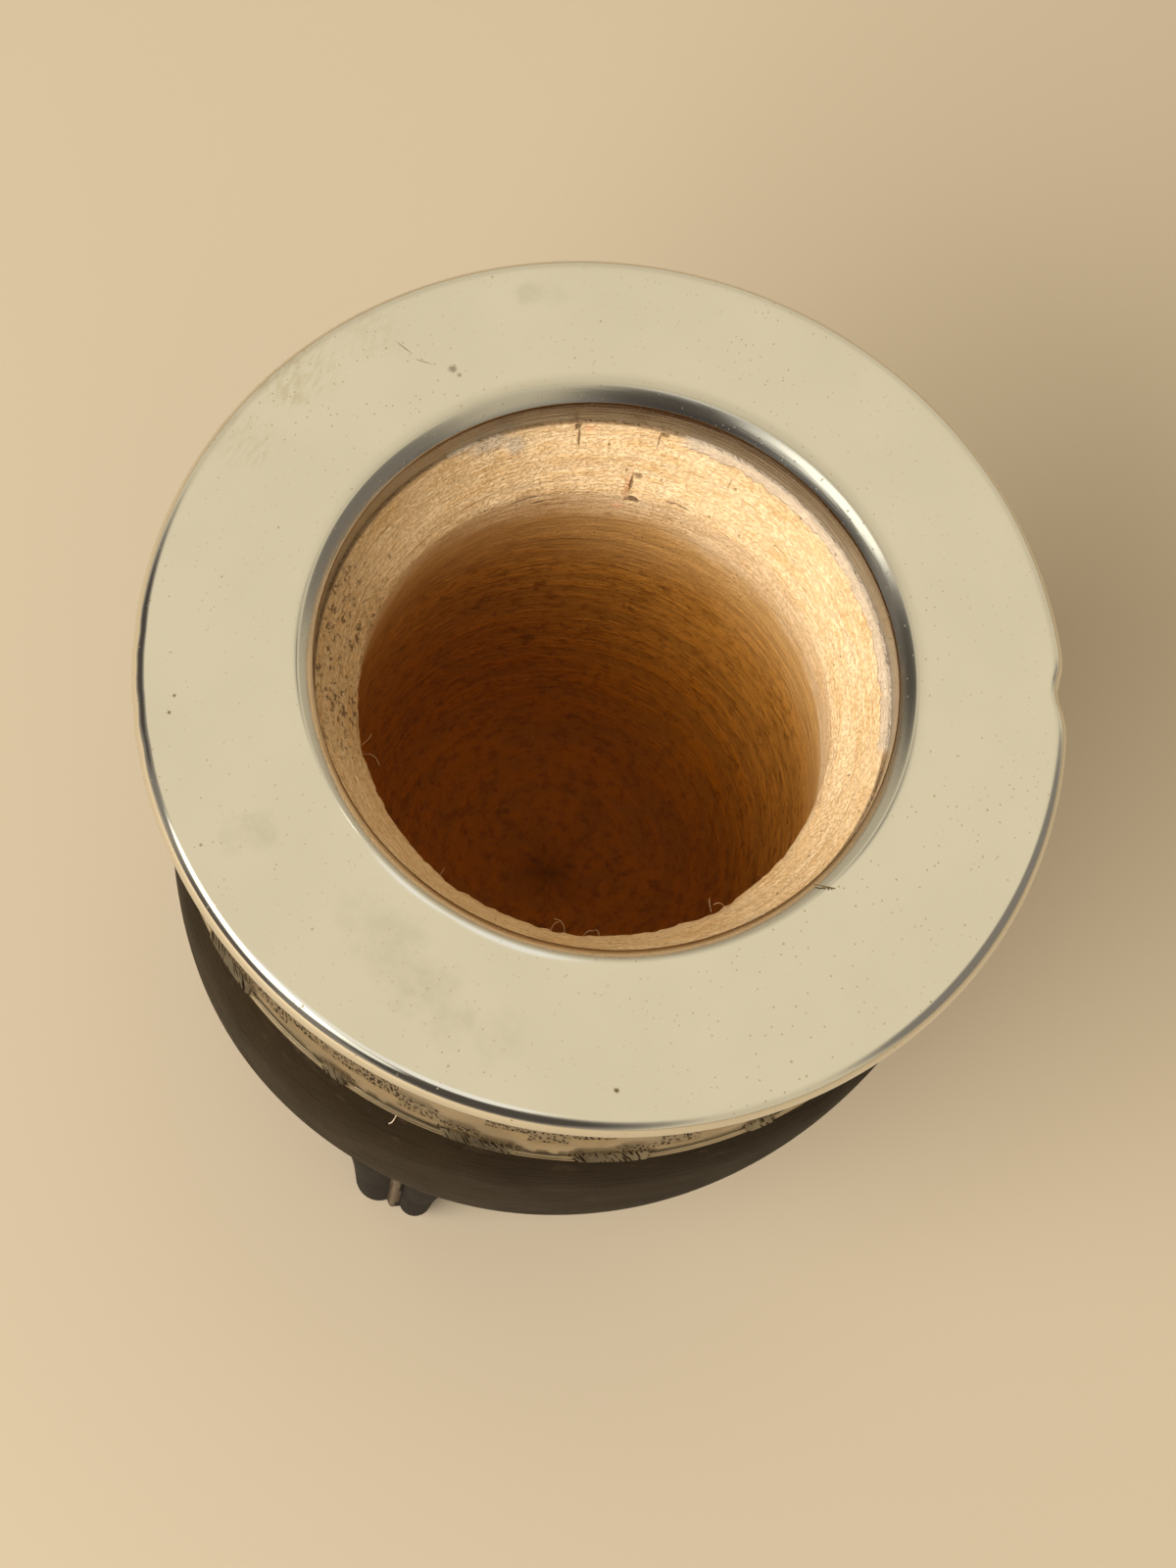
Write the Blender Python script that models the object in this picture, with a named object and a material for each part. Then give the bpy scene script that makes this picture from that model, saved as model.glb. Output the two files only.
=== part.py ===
"""An empty mate cup: a turned vessel in a leather cover, with a wide nickel-silver rim and collar, on four
pinched leather feet. Metres, +Z up, the table at z = 0 and the turning axis on Z."""

import math

import bmesh
import bpy
from mathutils import Matrix, Vector

MM = 0.001

# Driving dimensions, in millimetres above the table and from the turning axis
GAP = 0.3
RIM_RADIUS = 45.0
RIM_LEVEL = 108.0
RIM_ROLL_RADIUS = 1.9
RIM_SHEET = 0.9
RIM_SLOPE = 4.8
ROLL_END_TURN = -130.0
MOUTH_RADIUS = 29.5
MOUTH_RISE = 1.4
MOUTH_CURVE_RADIUS = 5.0
MOUTH_CURVE_TURNS = (145.0, 125.0)
MOUTH_HOLLOW = 1.7
SHOULDER_DROP = 0.4
TUBE_RADIUS = 28.04
TUBE_BOTTOM = 104.6

DENT_TURN = 25.3
DENT_DEPTH = 0.9
DENT_REACH = 2.2

COLLAR_TOP = 106.3
COLLAR_TOP_RADIUS = 39.9
COLLAR_BOTTOM = 82.6
COLLAR_BOTTOM_RADIUS = 42.4
COLLAR_SHEET = 0.7
COLLAR_BEAD_RADIUS = 0.3
COLLAR_BEAD_LEVELS = (84.05, 83.15)
COLLAR_BEAD_TURN = 75.0

BODY_RADIUS = 43.8
BODY_LEVEL = 73.5
BODY_REACH_UP = 28.0
BODY_REACH_DOWN = 60.0
BODY_SQUARENESS_UP = 2.0
BODY_SQUARENESS_DOWN = 2.4
COVER_TOP = 89.0
COVER_THICK = 1.8

LIP_OUTER_RADIUS = 27.9
LIP_TOP = 104.3
BORE_EDGE_RADIUS = 23.6
BORE_EDGE_LEVEL = 97.5
BORE_EDGE_ROUND = 0.6
BORE_NECK_SWELL = 0.3
BORE_NECK_DROP = 7.0
BORE_RADIUS = 24.9
BORE_WIDEST = 78.0
BORE_FLOOR = 44.0
BORE_SQUARENESS = 2.5
NECK_RADIUS = 34.2
NECK_TOP = 106.8
NECK_CHAMFER = 1.0
REBATE_RADIUS = 29.3

FOOT_COUNT = 4
FOOT_FIRST_TURN = -90.0
FOOT_NAMES = ("front", "right", "back", "left")
FOOT_OUTER = 36.6
FOOT_INNER = 14.0
FOOT_HEEL_TUCK = 7.5
FOOT_TOP = 46.0
FOOT_LOBE_RADII = (2.9, 2.0)
FOOT_LOBE_STEP = 0.4
FOOT_GROOVE_DEPTH = 1.5
FOOT_GROOVE_TURN = 40.0
FOOT_HEEL_RADIUS = 3.0
FOOT_FLARE = 1.75
FOOT_FLARE_POWER = 1.6
FOOT_TUCK_FADE = 2.2
FOOT_TUCK_POWER = 1.5
FOOT_TOE_RADIUS = 3.0
FOOT_TOE_TURNS = (0.0, 30.0, 60.0, 90.0)
FOOT_SHARES = (0.15, 0.35, 0.65, 1.0)

ROUND_STEPS = 60
RIM_STEPS = 72
BODY_POINTS = 14
BORE_POINTS = 9
SMOOTH_ANGLE = 40.0


def clear_scene():
    for obj in list(bpy.data.objects):
        bpy.data.objects.remove(obj, do_unlink=True)


def material(name, colour, roughness, metallic=0.0):
    made = bpy.data.materials.new(name)
    made.use_nodes = True
    shader = made.node_tree.nodes["Principled BSDF"]
    shader.inputs["Base Color"].default_value = (*colour, 1.0)
    shader.inputs["Roughness"].default_value = roughness
    shader.inputs["Metallic"].default_value = metallic
    return made


def arc(centre, radius, start, end, count):
    """Points (r, z) on an arc in the turning plane; angles in degrees, 0 outwards and 90 up."""
    turns = [math.radians(start + (end - start) * i / (count - 1)) for i in range(count)]
    return [(centre[0] + radius * math.cos(t), centre[1] + radius * math.sin(t)) for t in turns]


def body_angle(level):
    """The angle on the body's upper oval that lies at a level above its widest place."""
    return math.degrees(math.asin((level - BODY_LEVEL) / BODY_REACH_UP))


def body_curve(inset, start, end, count):
    """Points down the body's oval, moved in from the outside of the leather by an inset."""
    points = []
    for i in range(count):
        turn = math.radians(start + (end - start) * i / (count - 1))
        upper = turn > 0
        reach = BODY_REACH_UP if upper else BODY_REACH_DOWN
        power = BODY_SQUARENESS_UP if upper else BODY_SQUARENESS_DOWN
        across, along = max(math.cos(turn), 0.0), abs(math.sin(turn))
        r = BODY_RADIUS * across ** (2 / power)
        z = math.copysign(reach * along ** (2 / power), turn)
        out = Vector((across ** (2 - 2 / power) / BODY_RADIUS,
                      math.copysign(along ** (2 - 2 / power) / reach, turn))).normalized()
        points.append((max(0.0, r - out.x * inset), BODY_LEVEL + z - out.y * inset))
    return points


def spun_mesh(name, outline, steps, closed, first_turn=0.0):
    """Turns an outline of (r, z) points in millimetres round Z into one closed body."""
    bm = bmesh.new()
    start = Matrix.Rotation(math.radians(first_turn), 3, "Z")
    verts = [bm.verts.new(start @ Vector((r * MM, 0.0, z * MM))) for r, z in outline]
    pairs = list(zip(verts, verts[1:]))
    if closed:
        pairs.append((verts[-1], verts[0]))
    edges = [bm.edges.new(pair) for pair in pairs]
    bmesh.ops.spin(bm, geom=verts + edges, cent=(0, 0, 0), axis=(0, 0, 1), angle=math.tau,
                   steps=steps, use_merge=True)
    bmesh.ops.remove_doubles(bm, verts=bm.verts, dist=1e-7)
    bmesh.ops.recalc_face_normals(bm, faces=bm.faces)
    mesh = bpy.data.meshes.new(name)
    bm.to_mesh(mesh)
    bm.free()
    return mesh


def place(name, mesh, finish):
    obj = bpy.data.objects.new(name, mesh)
    bpy.context.scene.collection.objects.link(obj)
    mesh.materials.append(finish)
    mesh.shade_smooth()
    mesh.set_sharp_from_angle(angle=math.radians(SMOOTH_ANGLE))
    return obj


def facing(turn):
    return Vector((math.cos(math.radians(turn)), math.sin(math.radians(turn))))


def rim_outline():
    """The flange's section: a sheet that slopes gently between a rolled edge and the crest over the mouth's tube."""
    crest = Vector((MOUTH_RADIUS, RIM_LEVEL + MOUTH_RISE))
    centre = crest - facing(MOUTH_CURVE_TURNS[1]) * MOUTH_CURVE_RADIUS
    curve = arc(centre, MOUTH_CURVE_RADIUS, *MOUTH_CURVE_TURNS, 4)
    roll = Vector((RIM_RADIUS - RIM_ROLL_RADIUS, RIM_LEVEL - RIM_ROLL_RADIUS))
    edge = arc(roll, RIM_ROLL_RADIUS, 90.0 - RIM_SLOPE, ROLL_END_TURN, 8)
    hollow = MOUTH_RADIUS + MOUTH_HOLLOW
    plate = edge[0][1] + (edge[0][0] - hollow) * math.tan(math.radians(RIM_SLOPE))
    tube_outer = TUBE_RADIUS + RIM_SHEET
    points = [(TUBE_RADIUS, curve[0][1] - SHOULDER_DROP)] + curve + [(hollow, plate)] + edge
    points.append((roll.x - RIM_ROLL_RADIUS, RIM_LEVEL - RIM_SHEET - GAP))
    points.append((hollow, plate - RIM_SHEET))
    points.append((tube_outer, curve[0][1] - RIM_SHEET))
    points.append((tube_outer, TUBE_BOTTOM))
    points.append((TUBE_RADIUS, TUBE_BOTTOM))
    return points


def press_dent(mesh):
    """Pushes the rolled edge in where the flange was knocked."""
    at = Vector((math.cos(math.radians(DENT_TURN)), math.sin(math.radians(DENT_TURN)), 0.0)) * RIM_RADIUS
    for vert in mesh.vertices:
        flat = Vector((vert.co.x, vert.co.y, 0.0)) / MM
        near = math.exp(-((flat - at).length / DENT_REACH) ** 2)
        vert.co -= flat.normalized() * (DENT_DEPTH * near * MM)


def make_rim(finish):
    mesh = spun_mesh("rim_flange", rim_outline(), RIM_STEPS, True, DENT_TURN)
    press_dent(mesh)
    return place("rim_flange", mesh, finish)


def collar_radius(level):
    share = (COLLAR_TOP - level) / (COLLAR_TOP - COLLAR_BOTTOM)
    return COLLAR_TOP_RADIUS + (COLLAR_BOTTOM_RADIUS - COLLAR_TOP_RADIUS) * share


def make_collar(finish):
    """The engraved band: a slightly flared sheet with two fine beads above its lower edge."""
    points = [(COLLAR_TOP_RADIUS, COLLAR_TOP)]
    for level in COLLAR_BEAD_LEVELS:
        points += arc((collar_radius(level), level), COLLAR_BEAD_RADIUS, COLLAR_BEAD_TURN,
                      -COLLAR_BEAD_TURN, 3)
    points.append((COLLAR_BOTTOM_RADIUS, COLLAR_BOTTOM))
    points.append((COLLAR_BOTTOM_RADIUS - COLLAR_SHEET, COLLAR_BOTTOM))
    points.append((COLLAR_TOP_RADIUS - COLLAR_SHEET, COLLAR_TOP))
    return place("collar", spun_mesh("collar", points, RIM_STEPS, True), finish)


def make_cover(finish):
    """The leather bag drawn over the body, tucked up behind the collar."""
    top = body_angle(COVER_TOP)
    inside = body_curve(COVER_THICK, -90.0, top, BODY_POINTS)
    outside = body_curve(0.0, top, -90.0, BODY_POINTS)
    return place("leather_cover", spun_mesh("leather_cover", inside + outside, ROUND_STEPS, False), finish)


def bore_curve(count):
    """The inside wall from just under the bore's edge down to the middle of the floor."""
    points = []
    depth = BORE_WIDEST - BORE_FLOOR
    for i in range(count):
        turn = math.radians(90.0 * i / (count - 1))
        r = BORE_RADIUS * math.cos(turn) ** (2.0 / BORE_SQUARENESS)
        z = BORE_WIDEST - depth * math.sin(turn) ** (2.0 / BORE_SQUARENESS)
        points.append((r if i < count - 1 else 0.0, z))
    return points


def make_vessel(finish):
    """The turned vessel: sloping lip, bore with a round floor, and the outside that the leather hugs."""
    inset = COVER_THICK + GAP
    outline = list(reversed(bore_curve(BORE_POINTS)))
    outline += [(BORE_EDGE_RADIUS + BORE_NECK_SWELL, BORE_EDGE_LEVEL - BORE_NECK_DROP),
                (BORE_EDGE_RADIUS, BORE_EDGE_LEVEL - BORE_EDGE_ROUND),
                (BORE_EDGE_RADIUS + BORE_EDGE_ROUND / 2, BORE_EDGE_LEVEL + BORE_EDGE_ROUND / 2),
                (LIP_OUTER_RADIUS, LIP_TOP), (REBATE_RADIUS, LIP_TOP), (REBATE_RADIUS, NECK_TOP),
                (NECK_RADIUS - NECK_CHAMFER, NECK_TOP), (NECK_RADIUS, NECK_TOP - NECK_CHAMFER)]
    outline += body_curve(inset, body_angle(COVER_TOP), -90.0, BODY_POINTS)
    return place("vessel", spun_mesh("vessel", outline, ROUND_STEPS, False), finish)


def foot_section(inset, flare, tuck):
    """A foot seen from above, as (distance from the axis, sideways): two lobes outside, one heel inside."""
    left, right = FOOT_LOBE_RADII
    heel_r = FOOT_INNER + FOOT_HEEL_RADIUS + FOOT_HEEL_TUCK * tuck
    heel_y = left + right - FOOT_HEEL_RADIUS
    lobes = arc((FOOT_OUTER - left, -right), left - inset, -90.0, FOOT_GROOVE_TURN, 5)
    lobes.append((FOOT_OUTER - FOOT_GROOVE_DEPTH - inset, left - right))
    lobes += arc((FOOT_OUTER - right - FOOT_LOBE_STEP, left), right - inset, -FOOT_GROOVE_TURN, 90.0, 4)
    heel = arc((heel_r, heel_y), FOOT_HEEL_RADIUS - inset, 90.0, 180.0, 3)
    heel += arc((heel_r, -heel_y), FOOT_HEEL_RADIUS - inset, 180.0, 270.0, 3)
    return [(r, y * flare) for r, y in lobes + heel]


def foot_levels():
    """(height, inset, flare, heel tuck) from the flat sole over the round toe to the flared top in the body."""
    levels = []
    for turn in FOOT_TOE_TURNS:
        inset = FOOT_TOE_RADIUS / 2 * (1 - math.sin(math.radians(turn)))
        levels.append((FOOT_TOE_RADIUS * (1 - math.cos(math.radians(turn))), inset, 1.0, 1.0))
    for share in FOOT_SHARES:
        height = FOOT_TOE_RADIUS + (FOOT_TOP - FOOT_TOE_RADIUS) * share
        flare = 1.0 + (FOOT_FLARE - 1.0) * share ** FOOT_FLARE_POWER
        tuck = max(0.0, 1.0 - FOOT_TUCK_FADE * share) ** FOOT_TUCK_POWER
        levels.append((height, 0.0, flare, tuck))
    return levels


def foot_mesh():
    """One pinched foot lying along +X: its section carried up level by level."""
    bm = bmesh.new()
    levels = foot_levels()
    height, *shape = levels[0]
    verts = [bm.verts.new((r * MM, y * MM, height * MM)) for r, y in foot_section(*shape)]
    top = bm.faces.new(verts)
    for height, *shape in levels[1:]:
        below = top
        grown = bmesh.ops.extrude_face_region(bm, geom=[below])["geom"]
        top = next(part for part in grown if isinstance(part, bmesh.types.BMFace))
        if height > levels[1][0]:
            bmesh.ops.delete(bm, geom=[below], context="FACES_ONLY")
        for vert, (r, y) in zip(top.verts, foot_section(*shape)):
            vert.co = (r * MM, y * MM, height * MM)
    bmesh.ops.recalc_face_normals(bm, faces=bm.faces)
    mesh = bpy.data.meshes.new("foot")
    bm.to_mesh(mesh)
    bm.free()
    return mesh


def cutter(name, mesh):
    obj = bpy.data.objects.new(name, mesh)
    bpy.context.scene.collection.objects.link(obj)
    obj.hide_render = True
    obj.display_type = "WIRE"
    return obj


def cut(obj, tool):
    trim = obj.modifiers.new(tool.name, "BOOLEAN")
    trim.operation = "DIFFERENCE"
    trim.solver = "EXACT"
    trim.object = tool


def make_body_cutter():
    """The body's oval, one gap larger than the leather, which trims the tops of the feet."""
    outline = body_curve(-GAP, 20.0, -90.0, 16)
    outline.insert(0, (0.0, outline[0][1]))
    return cutter("body_space", spun_mesh("body_space", outline, ROUND_STEPS, False))


def make_feet(finish):
    body_space = make_body_cutter()
    feet = []
    for index, where in enumerate(FOOT_NAMES):
        foot = place("leather_foot_" + where, foot_mesh(), finish)
        foot.rotation_euler.z = math.radians(FOOT_FIRST_TURN + 360.0 / FOOT_COUNT * index)
        cut(foot, body_space)
        feet.append(foot)
    return feet


def main():
    clear_scene()
    silver = material("nickel_silver", (0.75, 0.70, 0.58), 0.12, 1.0)
    leather = material("leather_black_brown", (0.035, 0.026, 0.018), 0.5)
    wood = material("turned_pale_wood", (0.72, 0.47, 0.24), 0.75)
    make_vessel(wood)
    make_cover(leather)
    make_collar(silver)
    make_rim(silver)
    make_feet(leather)


main()
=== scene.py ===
"""The looks of an empty mate cup: turned wood, black-brown leather and nickel silver, in metres, +Z up."""

import math

import bmesh
import bpy
from bpy.props import FloatProperty, FloatVectorProperty, PointerProperty
from mathutils import Matrix, Vector, noise
from mathutils.geometry import interpolate_bezier


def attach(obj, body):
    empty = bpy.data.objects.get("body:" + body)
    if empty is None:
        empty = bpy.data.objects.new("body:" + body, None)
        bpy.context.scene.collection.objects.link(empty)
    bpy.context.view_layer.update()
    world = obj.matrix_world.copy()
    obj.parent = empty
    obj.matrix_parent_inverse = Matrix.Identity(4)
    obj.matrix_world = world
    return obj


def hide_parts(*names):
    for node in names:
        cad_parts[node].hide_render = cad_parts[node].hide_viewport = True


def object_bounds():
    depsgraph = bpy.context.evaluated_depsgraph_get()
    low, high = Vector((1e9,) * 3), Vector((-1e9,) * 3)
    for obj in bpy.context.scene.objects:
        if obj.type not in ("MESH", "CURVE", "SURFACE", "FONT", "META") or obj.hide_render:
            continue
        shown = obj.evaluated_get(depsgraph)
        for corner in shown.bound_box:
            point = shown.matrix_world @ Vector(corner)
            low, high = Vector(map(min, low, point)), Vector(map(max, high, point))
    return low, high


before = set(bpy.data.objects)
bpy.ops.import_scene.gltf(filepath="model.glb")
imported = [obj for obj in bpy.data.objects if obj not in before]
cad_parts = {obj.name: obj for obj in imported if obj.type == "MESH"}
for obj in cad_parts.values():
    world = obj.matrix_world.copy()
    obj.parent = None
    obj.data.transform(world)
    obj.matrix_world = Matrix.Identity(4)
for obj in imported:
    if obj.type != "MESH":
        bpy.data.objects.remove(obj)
CAD_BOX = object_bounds()

bl_info = {
    "name": "Mate cup",
    "version": (1, 0, 0),
    "blender": (4, 5, 0),
    "location": "3D View > Sidebar > Mate cup",
    "description": "Builds the visible pieces of an empty leather-covered mate cup",
    "category": "Object",
}

MM = 0.001
TABLE = CAD_BOX[0].z

# Turning steps and shading, shared by the turned pieces
FINE_STEPS = 240
WOOD_STEPS = 300
SHARP_ANGLE = 35.0
MERGE_DISTANCE = 1e-7

# Marks on the rim plate in the row frame: across, away and size, in millimetres, then strength
SMUDGES = (
    (-21.2, -30.7, 2.6, 0.55), (-22.8, -31.8, 2.2, 0.35), (-8.6, -33.0, 4.2, 0.30),
    (-5.4, -34.4, 4.8, 0.50), (-1.6, -36.4, 4.2, 0.55), (2.2, -38.0, 3.4, 0.50),
    (6.8, -37.4, 3.6, 0.30), (-24.8, 32.3, 2.3, 0.50), (-22.6, 33.4, 2.0, 0.30),
)
HAZES = ((-41.2, 13.0, 5.5, 0.55), (-41.5, 4.5, 4.5, 0.30), (-36.0, 20.5, 4.5, 0.25))
FLECKS = ((18.5, -36.8, 0.34, 0.9), (-34.4, -22.3, 0.24, 0.8), (-34.0, -24.0, 0.26, 0.8),
          (-27.4, 20.6, 0.6, 0.6), (-26.5, 20.3, 0.35, 0.5), (-25.2, -33.9, 0.22, 0.6),
          (31.5, -27.0, 0.2, 0.5))
# Scratches: the middle, the turn in degrees, the half length and half width
SCRATCHES = ((-32.6, 20.5, -14.0, 1.4, 0.11), (-30.2, 20.0, 8.0, 1.3, 0.10))

# Marks in the wood: turn, level, half sizes along the ring and upwards, and strength
LIP_DEGREE = math.radians(26.0)
WOOD_MARKS = (
    (121.4, 103.9, 0.45, 0.40, 1.0), (121.1, 103.0, 0.16, 1.0, 0.8), (103.2, 104.0, 0.65, 0.32, 0.9),
    (104.1, 103.3, 0.12, 0.9, 0.7), (106.7, 99.6, 0.80, 0.36, 0.9), (108.0, 98.5, 0.26, 1.3, 0.8),
    (106.6, 96.4, 1.25, 0.60, 1.0), (111.7, 92.1, 0.50, 0.25, 0.8), (86.5, 102.0, 0.11, 0.7, 0.4),
    (134.0, 96.9, 3.2, 0.16, 0.75), (130.5, 95.6, 1.1, 0.28, 0.7), (95.5, 97.9, 1.8, 0.12, 0.6),
    (-148.0, 101.8, 0.34, 0.34, 0.9), (-145.2, 101.2, 0.42, 0.26, 0.8), (-150.8, 102.6, 0.26, 0.34, 0.8),
    (-174.5, 98.2, 0.36, 0.30, 0.9), (-177.6, 97.8, 0.30, 0.26, 0.8), (172.5, 100.3, 0.26, 0.3, 0.6),
)
WOOD_TINTS = ((119.0, 103.7, 0.8, 0.5, 0.5), (109.0, 98.2, 0.55, 1.9, 0.42), (110.2, 94.6, 1.1, 1.0, 0.42))
# The spongy patch of the lip, and how the bore's stain reaches higher at one side; that lean is painted
# shade on the wall that the rim shades from the window light
SPONGY_PLACE, SPONGY_SIZE = (-24.1, -9.7, 100.5), 15.0
PAINTED_SHADE_LEAN = (-0.12, -0.06, 0.0)
# Glue: the long film's first and last turn, lower level and jaggedness, then short films as marks
GLUE_TURNS = (12.0, 101.0)
GLUE_LOW, GLUE_JAG = 103.3, 1.8
GLUE_SPOTS = ((146.0, 104.4, 2.8, 0.7, 1.0), (140.5, 103.7, 3.0, 1.0, 1.0), (135.3, 103.0, 1.4, 1.3, 1.0),
              (-33.0, 103.6, 2.4, 0.9, 1.0))

# The stepped fret: for each column from a trough on, the sunk rows, counted from the band's middle
FRET_COLUMN = 6.0
FRET_PERIOD = 10
FRET_TROUGH_COLUMN = -12
FRET_SUNK = ({0, 1, 2}, {1, 4}, {3, 4}, {2, 3}, {0, 1, 2}, {0, 1, 2, 4})
FRET_LEVELS = (91.75, 90.9, 89.1, 87.3, 85.7, 84.1)


def millimetres(*values):
    return tuple(value * MM for value in values)


# The sizes in millimetres and the colours, each with its default and what it is
SIZES = {
    "rim_radius": (45.0, "Outer radius of the rim plate"),
    "rim_level": (108.0, "Height of the rim plate's flat at its outer edge"),
    "rim_roll": (1.9, "Radius of the rolled outer edge"),
    "rim_sheet": (0.9, "Thickness of the rim plate"),
    "mouth_radius": (29.5, "Radius at the mouth's crest"),
    "mouth_rise": (1.4, "Height of the mouth's crest over the rim's edge"),
    "mouth_crest": (0.22, "Radius of the crest's small round"),
    "mouth_roll": (5.0, "Radius of the curve from the crest into the tube"),
    "mouth_fillet": (5.5, "Radius of the hollow curve that rises to the mouth"),
    "mouth_shoulder": (0.6, "Radius between that curve and the tube's straight wall"),
    "mouth_tube_bottom": (104.6, "Lower end of the mouth's tube"),
    "dent_depth": (0.9, "How far the rim is knocked in"),
    "dent_reach": (2.2, "How far the knock spreads"),
    "collar_top": (106.3, "Upper end of the collar"),
    "collar_top_radius": (39.9, "Radius of the collar's upper end"),
    "collar_bottom": (82.6, "Lower end of the collar"),
    "collar_bottom_radius": (42.4, "Radius of the collar's lower end"),
    "collar_sheet": (0.6, "Thickness of the collar"),
    "fret_depth": (0.06, "How deep the stippled ground lies"),
    "body_radius": (43.8, "Largest radius over the leather"),
    "body_level": (73.5, "Height of the body's widest place"),
    "body_reach_up": (28.0, "Height of the upper oval"),
    "body_reach_down": (60.0, "Height of the lower oval"),
    "cover_top": (89.0, "Height of the leather's hidden upper edge"),
    "cover_thickness": (1.8, "Thickness of the leather"),
    "lip_radius": (27.9, "Radius at the outside of the sloping lip"),
    "lip_top": (104.3, "Height of the lip's outside"),
    "bore_edge_radius": (23.6, "Radius of the bore's edge"),
    "bore_edge_level": (97.5, "Height of the bore's edge"),
    "bore_radius": (24.9, "Largest radius of the bore"),
    "bore_widest": (78.0, "Height of the bore's widest place"),
    "bore_floor": (44.0, "Height of the bore's floor"),
    "foot_reach": (36.6, "Distance from the axis to the outside of a foot"),
}
COLOURS = {
    "silver": ((0.80, 0.77, 0.68), "Polished nickel silver"),
    # The tube's colour also darkens the outer roll's underside, as painted reflection
    "tube": ((0.38, 0.40, 0.42), "Dull silver of the tube in the mouth"),
    "silver_smudge": ((0.60, 0.575, 0.47), "Finger marks on the silver"),
    "silver_haze": ((0.55, 0.45, 0.27), "Brownish dust on the silver"),
    "fleck": ((0.16, 0.11, 0.05), "Dark flecks of dust"),
    "tarnish": ((0.045, 0.030, 0.016), "Dark marks in the stippled ground"),
    # The collar's colour: worn nickel silver, made darker and browner as painted reflection of a dark brown
    # floor in the flange's shade
    "collar": ((0.47, 0.385, 0.26), "Worn nickel silver of the collar"),
    "leather": ((0.0145, 0.0088, 0.0038), "Black-brown leather"),
    # The feet's leather, near black and neutral: painted shade under the body's overhang
    "foot_leather": ((0.013, 0.010, 0.008), "Darker leather of the feet"),
    "leather_edge": ((0.16, 0.11, 0.065), "Cut edge of the leather"),
    "wood": ((0.86, 0.62, 0.36), "Pale turned wood of the lip"),
    "warm_wood": ((0.68, 0.38, 0.125), "Streaks in the pale wood"),
    "bore": ((0.56, 0.235, 0.032), "Stained wall of the bore"),
    "deep_bore": ((0.43, 0.125, 0.0), "Floor of the bore"),
    # The pore colour also paints the shade in the gap under the tube
    "pore": ((0.145, 0.073, 0.027), "Dark pores and knots"),
    "rust": ((0.74, 0.31, 0.14), "Reddish patches in the wood"),
    "glue": ((0.66, 0.52, 0.37), "Dried glue under the mouth's tube"),
    "fibre": ((0.62, 0.42, 0.24), "Loose fibres of wood"),
    "floor": ((0.50, 0.405, 0.285), "Plain pale floor"),
    "ceiling": ((0.85, 0.76, 0.57), "Light of the room from above"),
    "walls": ((0.70, 0.62, 0.46), "Light of the room from the sides"),
    "dim_side": ((0.25, 0.225, 0.195), "Soft surroundings of the room's dark side"),
    "shade": ((0.085, 0.072, 0.062), "The room's dark side"),
    "window": ((1.0, 0.97, 0.86), "The window, as the polish reflects it"),
    "glow": ((1.0, 0.97, 0.90), "Brighter ceiling over the window"),
}


def label(key):
    return key.replace("_", " ").capitalize()


def length(key, default, description):
    return FloatProperty(name=label(key), description=description, default=default * MM, unit="LENGTH",
                         precision=5)


def colour(key, default, description):
    return FloatVectorProperty(name=label(key), description=description, default=default, size=3, min=0.0,
                               max=1.0, subtype="COLOR")


class CupSizes(bpy.types.PropertyGroup):
    """Sizes of the cup's pieces, as the solids have them"""
    __annotations__ = {key: length(key, *row) for key, row in SIZES.items()}


class CupColours(bpy.types.PropertyGroup):
    """Colours of the cup's finishes and of the stage"""
    __annotations__ = {key: colour(key, *row) for key, row in COLOURS.items()}


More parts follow.
